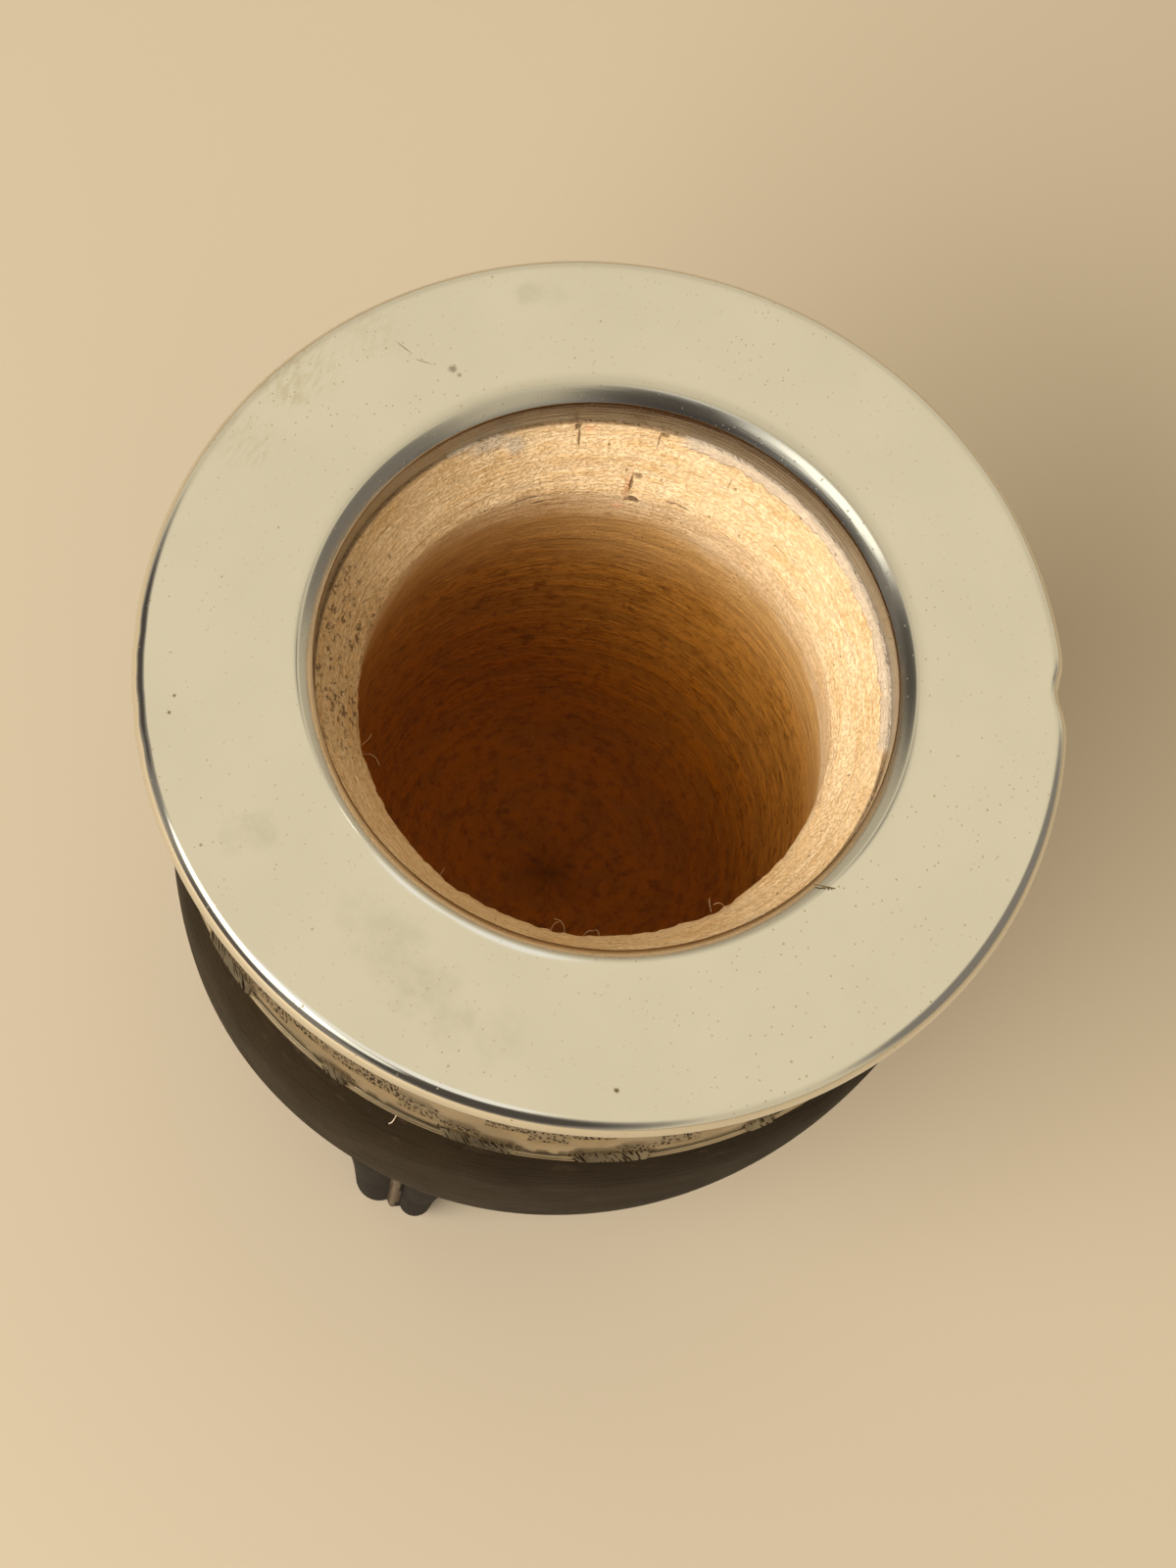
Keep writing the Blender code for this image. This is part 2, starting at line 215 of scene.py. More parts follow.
class Net:
    """Adds nodes to one shader tree and joins them."""

    def __init__(self, tree):
        self.tree = tree

    def join(self, value, socket):
        if isinstance(value, bpy.types.NodeSocket):
            self.tree.links.new(value, socket)
        elif socket.type == "RGBA" and len(value) == 3:
            socket.default_value = (*value, 1.0)
        else:
            socket.default_value = value

    def add(self, kind, sockets=None, **settings):
        made = self.tree.nodes.new(kind)
        for key, value in settings.items():
            setattr(made, key, value)
        for key, value in (sockets or {}).items():
            self.join(value, made.inputs[key])
        return made

    def math(self, operation, *values):
        return self.add("ShaderNodeMath", dict(enumerate(values)), operation=operation).outputs[0]

    def times(self, first, second):
        return self.math("MULTIPLY", first, second)

    def plus_times(self, first, second, third):
        """first * second + third"""
        return self.math("MULTIPLY_ADD", first, second, third)

    def vector(self, operation, *values):
        made = self.add("ShaderNodeVectorMath", dict(enumerate(values)), operation=operation)
        return made.outputs["Value" if operation in ("LENGTH", "DISTANCE", "DOT_PRODUCT") else "Vector"]

    def scaled(self, vector, factor):
        return self.add("ShaderNodeVectorMath", {0: vector, "Scale": factor}, operation="SCALE").outputs[0]

    def ramp(self, value, low, high, to_low=0.0, to_high=1.0):
        sockets = {0: value, 1: low, 2: high, 3: to_low, 4: to_high}
        return self.add("ShaderNodeMapRange", sockets, interpolation_type="SMOOTHSTEP").outputs[0]

    def mix(self, share, first, second):
        return self.add("ShaderNodeMix", {0: share, 6: first, 7: second}, data_type="RGBA").outputs[2]

    def lay(self, base, mask, strength, tint):
        """A tint over the base where the mask is, at a strength."""
        return self.mix(self.times(mask, strength), base, tint)

    def noise(self, where, scale, detail=2.0, rough=0.5):
        sockets = {"Vector": where, "Scale": scale, "Detail": detail, "Roughness": rough}
        return self.add("ShaderNodeTexNoise", sockets).outputs[0]

    def cells(self, where, scale, feature="F1", randomness=1.0):
        sockets = {"Vector": where, "Scale": scale, "Randomness": randomness}
        return self.add("ShaderNodeTexVoronoi", sockets, feature=feature).outputs

    def split(self, vector):
        return self.add("ShaderNodeSeparateXYZ", {0: vector}).outputs

    def combine(self, x=0.0, y=0.0, z=0.0):
        return self.add("ShaderNodeCombineXYZ", {0: x, 1: y, 2: z}).outputs[0]

    def effect(self, name, **sockets):
        made = self.add("ShaderNodeGroup", node_tree=bpy.data.node_groups[name])
        for key, value in sockets.items():
            self.join(value, made.inputs[key.replace("_", " ").capitalize()])
        return made.outputs

    def highest(self, masks):
        top = masks[0]
        for mask in masks[1:]:
            top = self.math("MAXIMUM", top, mask)
        return top


SOCKETS = {"float": "NodeSocketFloat", "vector": "NodeSocketVector"}


def make_effect(name, inputs, outputs, fill):
    """A shader node group; fill gets the net and its inputs and gives a value for each output."""
    tree = bpy.data.node_groups.new(name, "ShaderNodeTree")
    for label, kind, default in inputs:
        made = tree.interface.new_socket(name=label, in_out="INPUT", socket_type=SOCKETS[kind])
        made.default_value = default
    for label, kind in outputs:
        tree.interface.new_socket(name=label, in_out="OUTPUT", socket_type=SOCKETS[kind])
    net = Net(tree)
    source = net.add("NodeGroupInput").outputs
    results = fill(net, source)
    sink = net.add("NodeGroupOutput").inputs
    for (label, _), value in zip(outputs, results):
        net.join(value, sink[label])


def fill_turned_place(net, source):
    """Object coordinates as millimetres, and as places round the turning axis."""
    place = net.scaled(source["Position"], 1 / MM)
    x, y, z = net.split(place)
    flat = net.combine(x, y)
    radius = net.vector("LENGTH", flat)
    across, away, _ = net.split(net.vector("NORMALIZE", flat))
    turn = net.math("DEGREES", net.math("ARCTAN2", y, x))
    down = net.times(net.plus_times(radius, source["Lean"], z), source["Fineness"])
    grain = source["Grain"]
    ring = net.combine(net.times(across, grain), net.times(away, grain), down)
    along = net.times(net.math("ARCTAN2", y, x), radius)
    return place, radius, z, turn, ring, along


def fill_soft_spot(net, source):
    """One mark with a fading edge that a shared raggedness moves."""
    away = net.vector("DISTANCE", source["Place"], source["Centre"])
    away = net.math("ADD", net.math("DIVIDE", away, source["Size"]), source["Rag"])
    mask = net.ramp(away, 0.25, 1.0, 1.0, 0.0)
    return (net.times(mask, source["Strength"]),)


def fill_specks(net, source):
    """Fine specks: a share of the cells has one."""
    cell = net.cells(net.vector("DIVIDE", source["Place"], net.combine(*[source["Spacing"]] * 3)), 1.0)
    chance = net.split(cell["Color"])[0]
    there = net.math("GREATER_THAN", chance, net.math("SUBTRACT", 1.0, source["Share"]))
    dot = net.ramp(cell["Distance"], net.times(source["Size"], 0.5), source["Size"], 1.0, 0.0)
    return (net.times(dot, there),)


def fill_brushing(net, source):
    """Hairlines from wiping, in two directions."""
    first = net.add("ShaderNodeMapping", {"Vector": source["Place"], "Rotation": (0.0, 0.0, 0.7),
                                          "Scale": (0.25, 5.0, 1.0)}).outputs[0]
    second = net.add("ShaderNodeMapping", {"Vector": source["Place"], "Rotation": (0.0, 0.0, -1.1),
                                           "Scale": (0.2, 6.0, 1.0)}).outputs[0]
    lines = net.math("MAXIMUM", net.noise(first, 1.0, 4.0), net.noise(second, 1.0, 4.0))
    return (net.ramp(lines, 0.58, 0.82),)


def fill_turning_rings(net, source):
    """Fine rings that a lathe leaves, broken along their length."""
    fine = net.noise(source["Ring"], 1.0, 4.0, 0.6)
    broad = net.noise(net.scaled(source["Ring"], 0.22), 1.0, 3.0, 0.55)
    lines = net.math("ADD", net.times(fine, 0.65), net.times(broad, 0.35))
    return lines, broad


def fill_leather_grain(net, source):
    """Fine creased cells with a soft waviness under them."""
    place = source["Place"]
    bent = net.vector("ADD", place, net.scaled(net.add("ShaderNodeTexNoise", {
        "Vector": place, "Scale": 1.4, "Detail": 2.0}).outputs[1], 0.5))
    cells = net.cells(bent, 1.9, feature="DISTANCE_TO_EDGE")["Distance"]
    creases = net.ramp(cells, 0.0, 0.16)
    soft = net.noise(place, 0.16, 3.0)
    height = net.math("ADD", net.times(creases, source["Crease"]), net.times(soft, 0.5))
    return height, soft


def make_effects():
    """The shader node groups that the finishes share."""
    make_effect("Turned place",
                (("Position", "vector", (0, 0, 0)), ("Grain", "float", 8.0), ("Fineness", "float", 3.0),
                 ("Lean", "float", -0.6)),
                (("Place", "vector"), ("Radius", "float"), ("Height", "float"), ("Turn", "float"),
                 ("Ring", "vector"), ("Along", "float")), fill_turned_place)
    make_effect("Soft spot",
                (("Place", "vector", (0, 0, 0)), ("Centre", "vector", (0, 0, 0)), ("Size", "float", 3.0),
                 ("Rag", "float", 0.0), ("Strength", "float", 1.0)),
                (("Mask", "float"),), fill_soft_spot)
    make_effect("Specks",
                (("Place", "vector", (0, 0, 0)), ("Spacing", "float", 1.0), ("Size", "float", 0.15),
                 ("Share", "float", 0.3)), (("Mask", "float"),), fill_specks)
    make_effect("Brushing", (("Place", "vector", (0, 0, 0)),), (("Mask", "float"),), fill_brushing)
    make_effect("Turning rings", (("Ring", "vector", (0, 0, 0)),),
                (("Height", "float"), ("Broad", "float")), fill_turning_rings)
    make_effect("Leather grain", (("Place", "vector", (0, 0, 0)), ("Crease", "float", 0.5)),
                (("Height", "float"), ("Soft", "float")), fill_leather_grain)


def new_finish(name, roughness=0.5, metallic=0.0, specular=0.5):
    """A material and its net, shader and position; the constants stand on the shader's own sockets."""
    made = bpy.data.materials.new(name)
    made.use_nodes = True
    net = Net(made.node_tree)
    shader = made.node_tree.nodes["Principled BSDF"]
    shader.inputs["Roughness"].default_value = roughness
    shader.inputs["Metallic"].default_value = metallic
    shader.inputs["Specular IOR Level"].default_value = specular
    return made, net, shader, net.add("ShaderNodeTexCoord").outputs["Object"]


def darker(tint, share):
    return [channel * share for channel in tint]


def dress(net, shader, base, rough=None, height=None, relief=0.0):
    """Joins a finish's colour, roughness and relief to its shader; the relief is in millimetres."""
    net.join(base, shader.inputs["Base Color"])
    if rough is not None:
        net.join(rough, shader.inputs["Roughness"])
    if height is not None:
        bump = net.add("ShaderNodeBump", {"Height": height, "Distance": relief * MM})
        net.join(bump.outputs[0], shader.inputs["Normal"])


def rag(net, place, amount, scale):
    """How far the edges of marks stand off, within half the amount each way."""
    return net.times(net.math("SUBTRACT", net.noise(place, scale, 3.0), 0.5), amount)


def spots(net, place, marks, ragged, rag_scale):
    """The strongest of several marks, each given as across, away, size and strength."""
    edge = rag(net, place, ragged, rag_scale)
    return net.highest([net.effect("Soft spot", place=place, centre=(x, y, 0.0), size=size, rag=edge,
                                   strength=strength)[0] for x, y, size, strength in marks])


def scratch(net, place, edge, x, y, turn, half_long, half_thin):
    moved = net.vector("SUBTRACT", place, (x, y, 0.0))
    moved = net.add("ShaderNodeVectorRotate", {"Vector": moved, "Angle": math.radians(-turn)},
                    rotation_type="Z_AXIS").outputs[0]
    return net.effect("Soft spot", place=net.vector("DIVIDE", moved, (half_long, half_thin, 1.0)), size=1.0,
                      rag=edge)[0]


def plate_finish(colours, sizes):
    """Mirror-polished nickel silver with finger marks, dust and hairlines."""
    made, net, shader, position = new_finish("polished rim plate", metallic=1.0)
    turned = net.effect("Turned place", position=position, grain=3.0, fineness=4.0)
    place = net.vector("MULTIPLY", turned["Place"], (1.0, 1.0, 0.0))
    smudge = spots(net, place, SMUDGES, 1.3, 0.35)
    haze = spots(net, place, HAZES, 0.9, 0.25)
    streaks = net.noise(net.vector("MULTIPLY", place, (1.0, 0.28, 1.0)), 2.2, 4.0)
    smudge = net.times(smudge, net.ramp(net.noise(place, 0.5, 4.0, 0.6), 0.3, 0.65, 0.3, 1.0))
    haze = net.times(haze, net.ramp(streaks, 0.35, 0.7))
    flecks = spots(net, place, FLECKS, 0.6, 3.0)
    edge = rag(net, place, 0.8, 2.5)
    scratches = net.highest([scratch(net, place, edge, *row) for row in SCRATCHES])
    flecks = net.math("MAXIMUM", flecks, net.times(scratches, 0.55))
    dust_area = net.ramp(net.noise(place, 0.045, 2.0), 0.36, 0.60)
    fine = net.effect("Specks", place=turned["Place"], spacing=0.62, size=0.2, share=0.4)[0]
    coarse = net.effect("Specks", place=turned["Place"], spacing=2.4, size=0.07, share=0.35)[0]
    dust = net.times(fine, net.plus_times(dust_area, 0.55, 0.28))
    dust = net.math("MAXIMUM", dust, net.times(coarse, 0.8))
    tone = net.noise(place, 0.07, 3.0)
    base = net.mix(net.ramp(tone, 0.35, 0.65), colours.silver, darker(colours.silver, 0.965))
    base = net.lay(base, smudge, 0.85, colours.silver_smudge)
    base = net.lay(base, haze, 0.8, colours.silver_haze)
    base = net.mix(dust, base, colours.silver_haze)
    base = net.mix(flecks, base, colours.fleck)
    crest = sizes.mouth_radius / MM
    mouth = net.ramp(turned["Radius"], crest + 0.3, crest - 0.1)
    tube = net.ramp(turned["Radius"], crest - 0.9, crest - 1.4)
    base = net.lay(base, mouth, 0.9, darker(colours.silver, 0.70))
    base = net.lay(base, tube, 0.85, colours.tube)
    # The outer roll's lower half and the sheet under it go dark towards the tube's colour: painted
    # reflection of a dark floor
    middle = (sizes.rim_level - sizes.rim_roll) / MM
    under = net.ramp(turned["Height"], middle - 0.1, middle - 0.5)
    under = net.times(under, net.ramp(turned["Radius"], crest + 8.0, crest + 10.0))
    base = net.lay(base, under, 0.85, darker(colours.tube, 0.6))
    lines = net.effect("Brushing", place=place)[0]
    specks = net.math("MAXIMUM", dust, flecks)
    rough = 0.10
    for mask, share in ((lines, 0.05), (smudge, 0.16), (haze, 0.25), (specks, 0.4), (mouth, 0.13)):
        rough = net.plus_times(mask, share, rough)
    waves = net.noise(turned["Place"], 0.22, 2.0)
    turning = net.times(net.noise(turned["Ring"], 1.0, 3.0), mouth)
    height = net.plus_times(dust, 0.25, net.times(waves, 0.6))
    height = net.plus_times(turning, 1.2, height)
    dress(net, shader, base, rough, height, 0.03)
    return made


def collar_finish(colours):
    """The collar's raised metal, a little worn; its darker, browner tone is painted reflection of a dark
    brown floor in the shade under the flange.
    """
    made, net, shader, position = new_finish("collar polish", metallic=1.0)
    turned = net.effect("Turned place", position=position, grain=30.0, fineness=6.0)
    tone = net.noise(turned["Place"], 0.25, 4.0)
    base = net.mix(net.ramp(tone, 0.35, 0.7), colours.collar, darker(colours.collar, 0.8))
    grime = net.effect("Specks", place=turned["Place"], spacing=0.8, size=0.16, share=0.3)[0]
    base = net.lay(base, grime, 0.6, colours.fleck)
    waves = net.noise(turned["Ring"], 0.12, 3.0)
    dress(net, shader, base, net.plus_times(tone, 0.16, 0.24), waves, 0.05)
    return made


def stipple_finish(colours):
    """The fret's sunk ground: short upright tool marks, dark with tarnish."""
    made, net, shader, position = new_finish("stippled ground", metallic=1.0)
    turned = net.effect("Turned place", position=position)
    where = net.combine(turned["Along"], net.times(turned["Height"], 0.55), 0.0)
    wander = net.add("ShaderNodeTexNoise", {"Vector": where, "Scale": 1.6, "Detail": 3.0}).outputs[1]
    where = net.vector("ADD", where, net.scaled(wander, 0.4))
    cell = net.cells(where, 2.6, randomness=0.85)
    marks = net.ramp(cell["Distance"], 0.30, 0.52, 1.0, 0.0)
    patchy = net.ramp(net.noise(turned["Place"], 0.5, 2.0), 0.3, 0.6, 0.6, 1.0)
    marks = net.times(marks, patchy)
    # The sunk ground takes the collar's colour, with its painted reflection, under the tarnish
    base = net.mix(marks, darker(colours.collar, 0.75), colours.tarnish)
    dress(net, shader, base, net.plus_times(marks, 0.3, 0.36), net.math("SUBTRACT", 1.0, marks), 0.07)
    return made


def leather_finish(name, tint, worn):
    """Smooth leather with fine creases along the ring and a soft gloss."""
    made, net, shader, position = new_finish(name, specular=0.07)
    turned = net.effect("Turned place", position=position, grain=7.0, fineness=1.3)
    place = turned["Place"]
    grain = net.effect("Leather grain", place=place, crease=0.35)
    tone = net.ramp(net.noise(place, 0.06, 4.0, 0.6), 0.3, 0.7)
    base = net.mix(tone, tint, darker(tint, 1.5))
    creases = net.noise(turned["Ring"], 1.0, 5.0, 0.62)
    base = net.mix(net.ramp(creases, 0.52, 0.7, 0.0, 0.5), base, darker(tint, 0.45))
    scuff = net.ramp(net.noise(net.vector("MULTIPLY", place, (0.5, 0.5, 1.4)), 0.5, 5.0, 0.7), 0.57, 0.74)
    base = net.lay(base, scuff, 0.14, worn)
    height = net.math("SUBTRACT", grain["Height"], net.ramp(creases, 0.45, 0.7))
    dress(net, shader, base, net.plus_times(grain["Soft"], 0.22, 0.46), height, 0.07)
    return made


def leather_edge_finish(colours):
    """The raw cut edge of a leather layer."""
    made, net, shader, position = new_finish("cut leather edge", roughness=0.8)
    place = net.scaled(position, 1 / MM)
    fibres = net.noise(net.vector("MULTIPLY", place, (3.0, 3.0, 0.6)), 1.2, 5.0, 0.7)
    base = net.mix(net.ramp(fibres, 0.3, 0.7), colours.leather_edge, darker(colours.leather_edge, 0.45))
    dress(net, shader, base, height=fibres, relief=0.10)
    return made


def ring_mark(net, turned, edge, turn, level, wide, tall, strength):
    """A mark on the wood at a turn and level, with half sizes along the ring and upwards."""
    along = net.times(net.math("SUBTRACT", turned["Turn"], turn), LIP_DEGREE / wide)
    up = net.math("DIVIDE", net.math("SUBTRACT", turned["Height"], level), tall)
    return net.effect("Soft spot", place=net.combine(along, up), size=1.0, rag=edge, strength=strength)[0]


def marked(net, turned, edge, marks):
    return net.highest([ring_mark(net, turned, edge, *mark) for mark in marks])


def stained_bore(net, turned, place, wide_ring, depth, colours):
    """The orange-brown stain down the bore, with turning rings, clouds and dark clumps."""
    stain = net.mix(net.ramp(depth, 18.0, 44.0), colours.bore, colours.deep_bore)
    rings = net.ramp(net.noise(wide_ring, 1.0, 5.0, 0.62), 0.40, 0.62)
    stain = net.lay(stain, rings, 0.35, darker(colours.bore, 0.40))
    cloud = net.noise(net.vector("ADD", place, net.scaled(turned["Ring"], 0.25)), 0.62, 4.0, 0.65)
    stain = net.mix(net.times(net.ramp(cloud, 0.46, 0.68), 0.65), stain,
                    darker(colours.deep_bore, 0.45))
    clump = net.ramp(net.noise(place, 0.33, 5.0, 0.7), 0.60, 0.68)
    return net.mix(net.times(clump, 0.6), stain, darker(colours.deep_bore, 0.3)), rings


def glue_mask(net, turned, edge):
    """The long film of glue under the tube, whose lower edge is jagged, and a few short ones."""
    first, last = GLUE_TURNS
    jag = net.noise(net.combine(net.times(turned["Along"], 0.45)), 1.0, 4.0, 0.7)
    low = net.plus_times(jag, GLUE_JAG, GLUE_LOW - 0.5 * GLUE_JAG)
    film = net.ramp(net.math("SUBTRACT", turned["Height"], low), 0.0, 0.15)
    film = net.times(film, net.ramp(turned["Turn"], first, first + 3.0))
    film = net.times(film, net.ramp(turned["Turn"], last, last - 4.0))
    return net.math("MAXIMUM", film, marked(net, turned, edge, GLUE_SPOTS))


def wood_finish(colours, sizes):
    """Turned wood: pale and mottled on the lip, stained down the bore, with dried glue under the tube."""
    made, net, shader, position = new_finish("turned wood")
    turned = net.effect("Turned place", position=position, grain=9.0, fineness=3.2, lean=0.6)
    close_ring = net.effect("Turned place", position=position, grain=55.0, fineness=4.0, lean=0.6)["Ring"]
    wide_ring = net.effect("Turned place", position=position, grain=1.8, fineness=0.55, lean=0.6)["Ring"]
    place, height = turned["Place"], turned["Height"]
    rings = net.effect("Turning rings", ring=turned["Ring"])
    wobble = net.noise(place, 0.12, 3.0)
    depth = net.math("SUBTRACT", net.plus_times(wobble, 9.0, sizes.bore_edge_level / MM - 4.5), height)
    # The stain reaches higher towards the window's side: painted shade on the wall that the rim shades
    depth = net.math("ADD", depth, net.vector("DOT_PRODUCT", place, PAINTED_SHADE_LEAN))

    lines = net.ramp(rings["Height"], 0.40, 0.62)
    pale = net.mix(net.times(lines, 0.65), colours.wood, colours.warm_wood)
    mottle = net.ramp(net.noise(close_ring, 1.0, 2.0, 0.6), 0.44, 0.64)
    pale = net.lay(pale, mottle, 0.48, darker(colours.warm_wood, 0.62))
    blotch = net.ramp(net.noise(place, 0.17, 4.0, 0.6), 0.35, 0.7)
    pale = net.lay(pale, blotch, 0.35, colours.wood)
    stain, deep_rings = stained_bore(net, turned, place, wide_ring, depth, colours)
    warm = net.mix(net.times(lines, 0.5), colours.warm_wood, darker(colours.warm_wood, 0.55))
    base = net.mix(net.ramp(depth, 2.0, 9.0), pale, warm)
    base = net.mix(net.ramp(depth, 5.0, 22.0), base, stain)
    edge = rag(net, place, 1.0, 1.7)
    base = net.mix(marked(net, turned, edge, WOOD_TINTS), base, colours.rust)

    spongy = net.effect("Soft spot", place=place, centre=SPONGY_PLACE, size=SPONGY_SIZE, rag=edge)[0]
    pores = net.ramp(net.noise(place, 1.15, 4.0, 0.75), 0.55, 0.645)
    pores = net.times(pores, spongy)
    fine_pores = net.effect("Specks", place=place, spacing=1.2, size=0.15, share=0.2)[0]
    pores = net.math("MAXIMUM", pores, net.times(fine_pores, 0.6))
    dark = net.math("MAXIMUM", pores, marked(net, turned, edge, WOOD_MARKS))
    # A dark line at the lip's top, in the gap under the tube: painted shade, in the pore colour
    joint_painted_shade = net.times(net.ramp(height, sizes.lip_top / MM - 0.3, sizes.lip_top / MM), 0.9)
    dark = net.math("MAXIMUM", dark, joint_painted_shade)
    base = net.lay(base, spongy, 0.3, darker(colours.warm_wood, 0.5))
    base = net.lay(base, dark, 0.85, colours.pore)

    glue = glue_mask(net, turned, edge)
    cloud = net.noise(place, 0.9, 3.0)
    film = net.mix(net.ramp(cloud, 0.3, 0.7), colours.glue, darker(colours.glue, 0.85))
    base = net.lay(base, glue, 0.8, film)
    rough = net.plus_times(glue, -0.22, net.plus_times(rings["Broad"], 0.2, 0.62))
    rises = net.plus_times(glue, 0.5, net.times(rings["Height"], 1.1))
    falls = net.plus_times(mottle, 0.3, net.plus_times(deep_rings, 0.6, dark))
    dress(net, shader, base, rough, net.math("SUBTRACT", rises, falls), 0.26)
    return made


def fibre_finish(name, tint):
    made, net, shader, position = new_finish(name, roughness=0.7)
    tone = net.noise(net.scaled(position, 1 / MM), 1.5, 2.0)
    dress(net, shader, net.mix(tone, tint, darker(tint, 0.7)))
    return made


def floor_finish(colours):
    made, net, shader, position = new_finish("plain floor", roughness=0.75)
    tone = net.noise(position, 3.0, 3.0)
    dress(net, shader, net.mix(tone, colours.floor, darker(colours.floor, 0.96)))
    return made


def arc(centre, radius, start, end, count):
    """Points (r, z) on an arc in the turning plane; angles in degrees, 0 outwards and 90 up."""
    turns = [math.radians(start + (end - start) * i / (count - 1)) for i in range(count)]
    return [(centre[0] + radius * math.cos(t), centre[1] + radius * math.sin(t)) for t in turns]


def bend(start, first_pull, second_pull, end, count):
    """Points on a Bezier curve between two points, all given as (r, z)."""
    knots = [Vector((*point, 0.0)) for point in (start, first_pull, second_pull, end)]
    return [(point.x, point.y) for point in interpolate_bezier(*knots, count)]


def straight(start, end, count):
    return [(start[0] + (end[0] - start[0]) * i / (count - 1),
             start[1] + (end[1] - start[1]) * i / (count - 1)) for i in range(count)]


def polar(radius, turn, level=0.0):
    return Vector((radius * math.cos(math.radians(turn)), radius * math.sin(math.radians(turn)), level))


def turn_of(point):
    return math.degrees(math.atan2(point.y, point.x))


def apart(turn, other):
    """The difference of two turns, within half a turn."""
    return (turn - other + 180.0) % 360.0 - 180.0


def waves_at(turn, rows):
    """The sum, at one turn, of soft waves given as turn, depth and reach."""
    return sum(depth * math.exp(-(apart(turn, at) / reach) ** 2) for at, depth, reach in rows)


def spun(outline, steps, closed=False):
    """A bmesh of an outline of (r, z) points in metres, turned once round Z."""
    bm = bmesh.new()
    verts = [bm.verts.new((r, 0.0, z)) for r, z in outline]
    edges = [bm.edges.new(pair) for pair in zip(verts, verts[1:])]
    if closed:
        edges.append(bm.edges.new((verts[-1], verts[0])))
    bmesh.ops.spin(bm, geom=verts + edges, cent=(0, 0, 0), axis=(0, 0, 1), angle=math.radians(360.0),
                   steps=steps, use_merge=True)
    bmesh.ops.remove_doubles(bm, verts=bm.verts, dist=MERGE_DISTANCE)
    bmesh.ops.recalc_face_normals(bm, faces=bm.faces)
    return bm


def add_object(name, data, finishes=()):
    """Links a new object to the scene: a mesh or curve with its materials, a light or a camera."""
    for finish in finishes:
        data.materials.append(finish)
    obj = bpy.data.objects.new(name, data)
    bpy.context.scene.collection.objects.link(obj)
    return obj


def add_mesh(name, bm, finishes):
    mesh = bpy.data.meshes.new(name)
    bm.to_mesh(mesh)
    bm.free()
    return add_object(name, mesh, finishes)


def finish_piece(name, bm, finishes, replaced):
    """Makes an object of a bmesh, shades it and joins it to the frame in place of a node."""
    obj = add_mesh(name, bm, finishes)
    obj.data.shade_smooth()
    obj.data.set_sharp_from_angle(angle=math.radians(SHARP_ANGLE))
    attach(obj, "root")
    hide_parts(replaced)
    return obj


# Turns of the flange's section, where 0 faces outwards and 90 up
SHOULDER_TURN, CREASE_INNER, CREASE_OUTER, PLATE_TURN = 145.0, 125.0, 67.0, 85.2
ROLL_END = -130.0
# The underside's corners, in millimetres under the sheet and out from the tube
UNDER_ROLL, UNDER_RISE, UNDER_RISE_OUT, UNDER_TUBE, UNDER_TUBE_OUT = 0.3, 0.2, 2.6, 2.0, 0.3


def facing(turn):
    return Vector((math.cos(math.radians(turn)), math.sin(math.radians(turn))))


def tube_radius(sizes):
    """The tube's inner radius, from the crest inwards over the curve and the shoulder."""
    crest_in = sizes.mouth_radius + sizes.mouth_crest * facing(CREASE_INNER).x
    curve_in = crest_in + sizes.mouth_roll * (facing(SHOULDER_TURN).x - facing(CREASE_INNER).x)
    return curve_in - sizes.mouth_shoulder * (facing(SHOULDER_TURN).x + 1.0)


def plate_outline(sizes):
    """The flange's section: tube, curve up to the crest, hollow rise, flat, outer roll and underside."""
    crest = Vector((sizes.mouth_radius, sizes.rim_level + sizes.mouth_rise - sizes.mouth_crest))
    roll = (sizes.rim_radius - sizes.rim_roll, sizes.rim_level - sizes.rim_roll)
    inner = tube_radius(sizes)
    outer = inner + sizes.rim_sheet
    mouth = crest - facing(CREASE_INNER) * (sizes.mouth_roll - sizes.mouth_crest)
    curve = arc(mouth, sizes.mouth_roll, SHOULDER_TURN, CREASE_INNER, 10)
    shoulder = Vector(curve[0]) - facing(SHOULDER_TURN) * sizes.mouth_shoulder
    turn_in = arc(shoulder, sizes.mouth_shoulder, 180.0, SHOULDER_TURN, 6)
    points = straight((inner, sizes.mouth_tube_bottom), turn_in[0], 5)[:-1] + turn_in + curve[1:]
    points += arc(crest, sizes.mouth_crest, CREASE_INNER, CREASE_OUTER, 5)[1:]
    hollow = Vector(points[-1]) + facing(CREASE_OUTER) * sizes.mouth_fillet
    points += arc(hollow, sizes.mouth_fillet, CREASE_OUTER + 180.0, PLATE_TURN + 180.0, 8)[1:]
    edge = arc(roll, sizes.rim_roll, PLATE_TURN, ROLL_END, 26)
    points += straight(points[-1], edge[0], 10)[1:-1] + edge
    points.append((roll[0] - sizes.rim_roll, sizes.rim_level - sizes.rim_sheet - UNDER_ROLL * MM))
    points.append((outer + UNDER_RISE_OUT * MM, crest[1] - sizes.rim_sheet - UNDER_RISE * MM))
    points.append((outer + UNDER_TUBE_OUT * MM, crest[1] - UNDER_TUBE * MM))
    points.append((outer, sizes.mouth_tube_bottom))
    return points


DENT_TURN = 25.3
SHEET_WAVE, SHEET_WAVE_SCALE = 0.05, 60.0
# Nicks in the rolled edge: turn, depth and reach, in degrees and millimetres
EDGE_NICKS = ((-141.0, 0.10, 1.1), (-146.5, 0.14, 1.0), (-151.0, 0.08, 0.8), (-156.0, 0.12, 1.2))


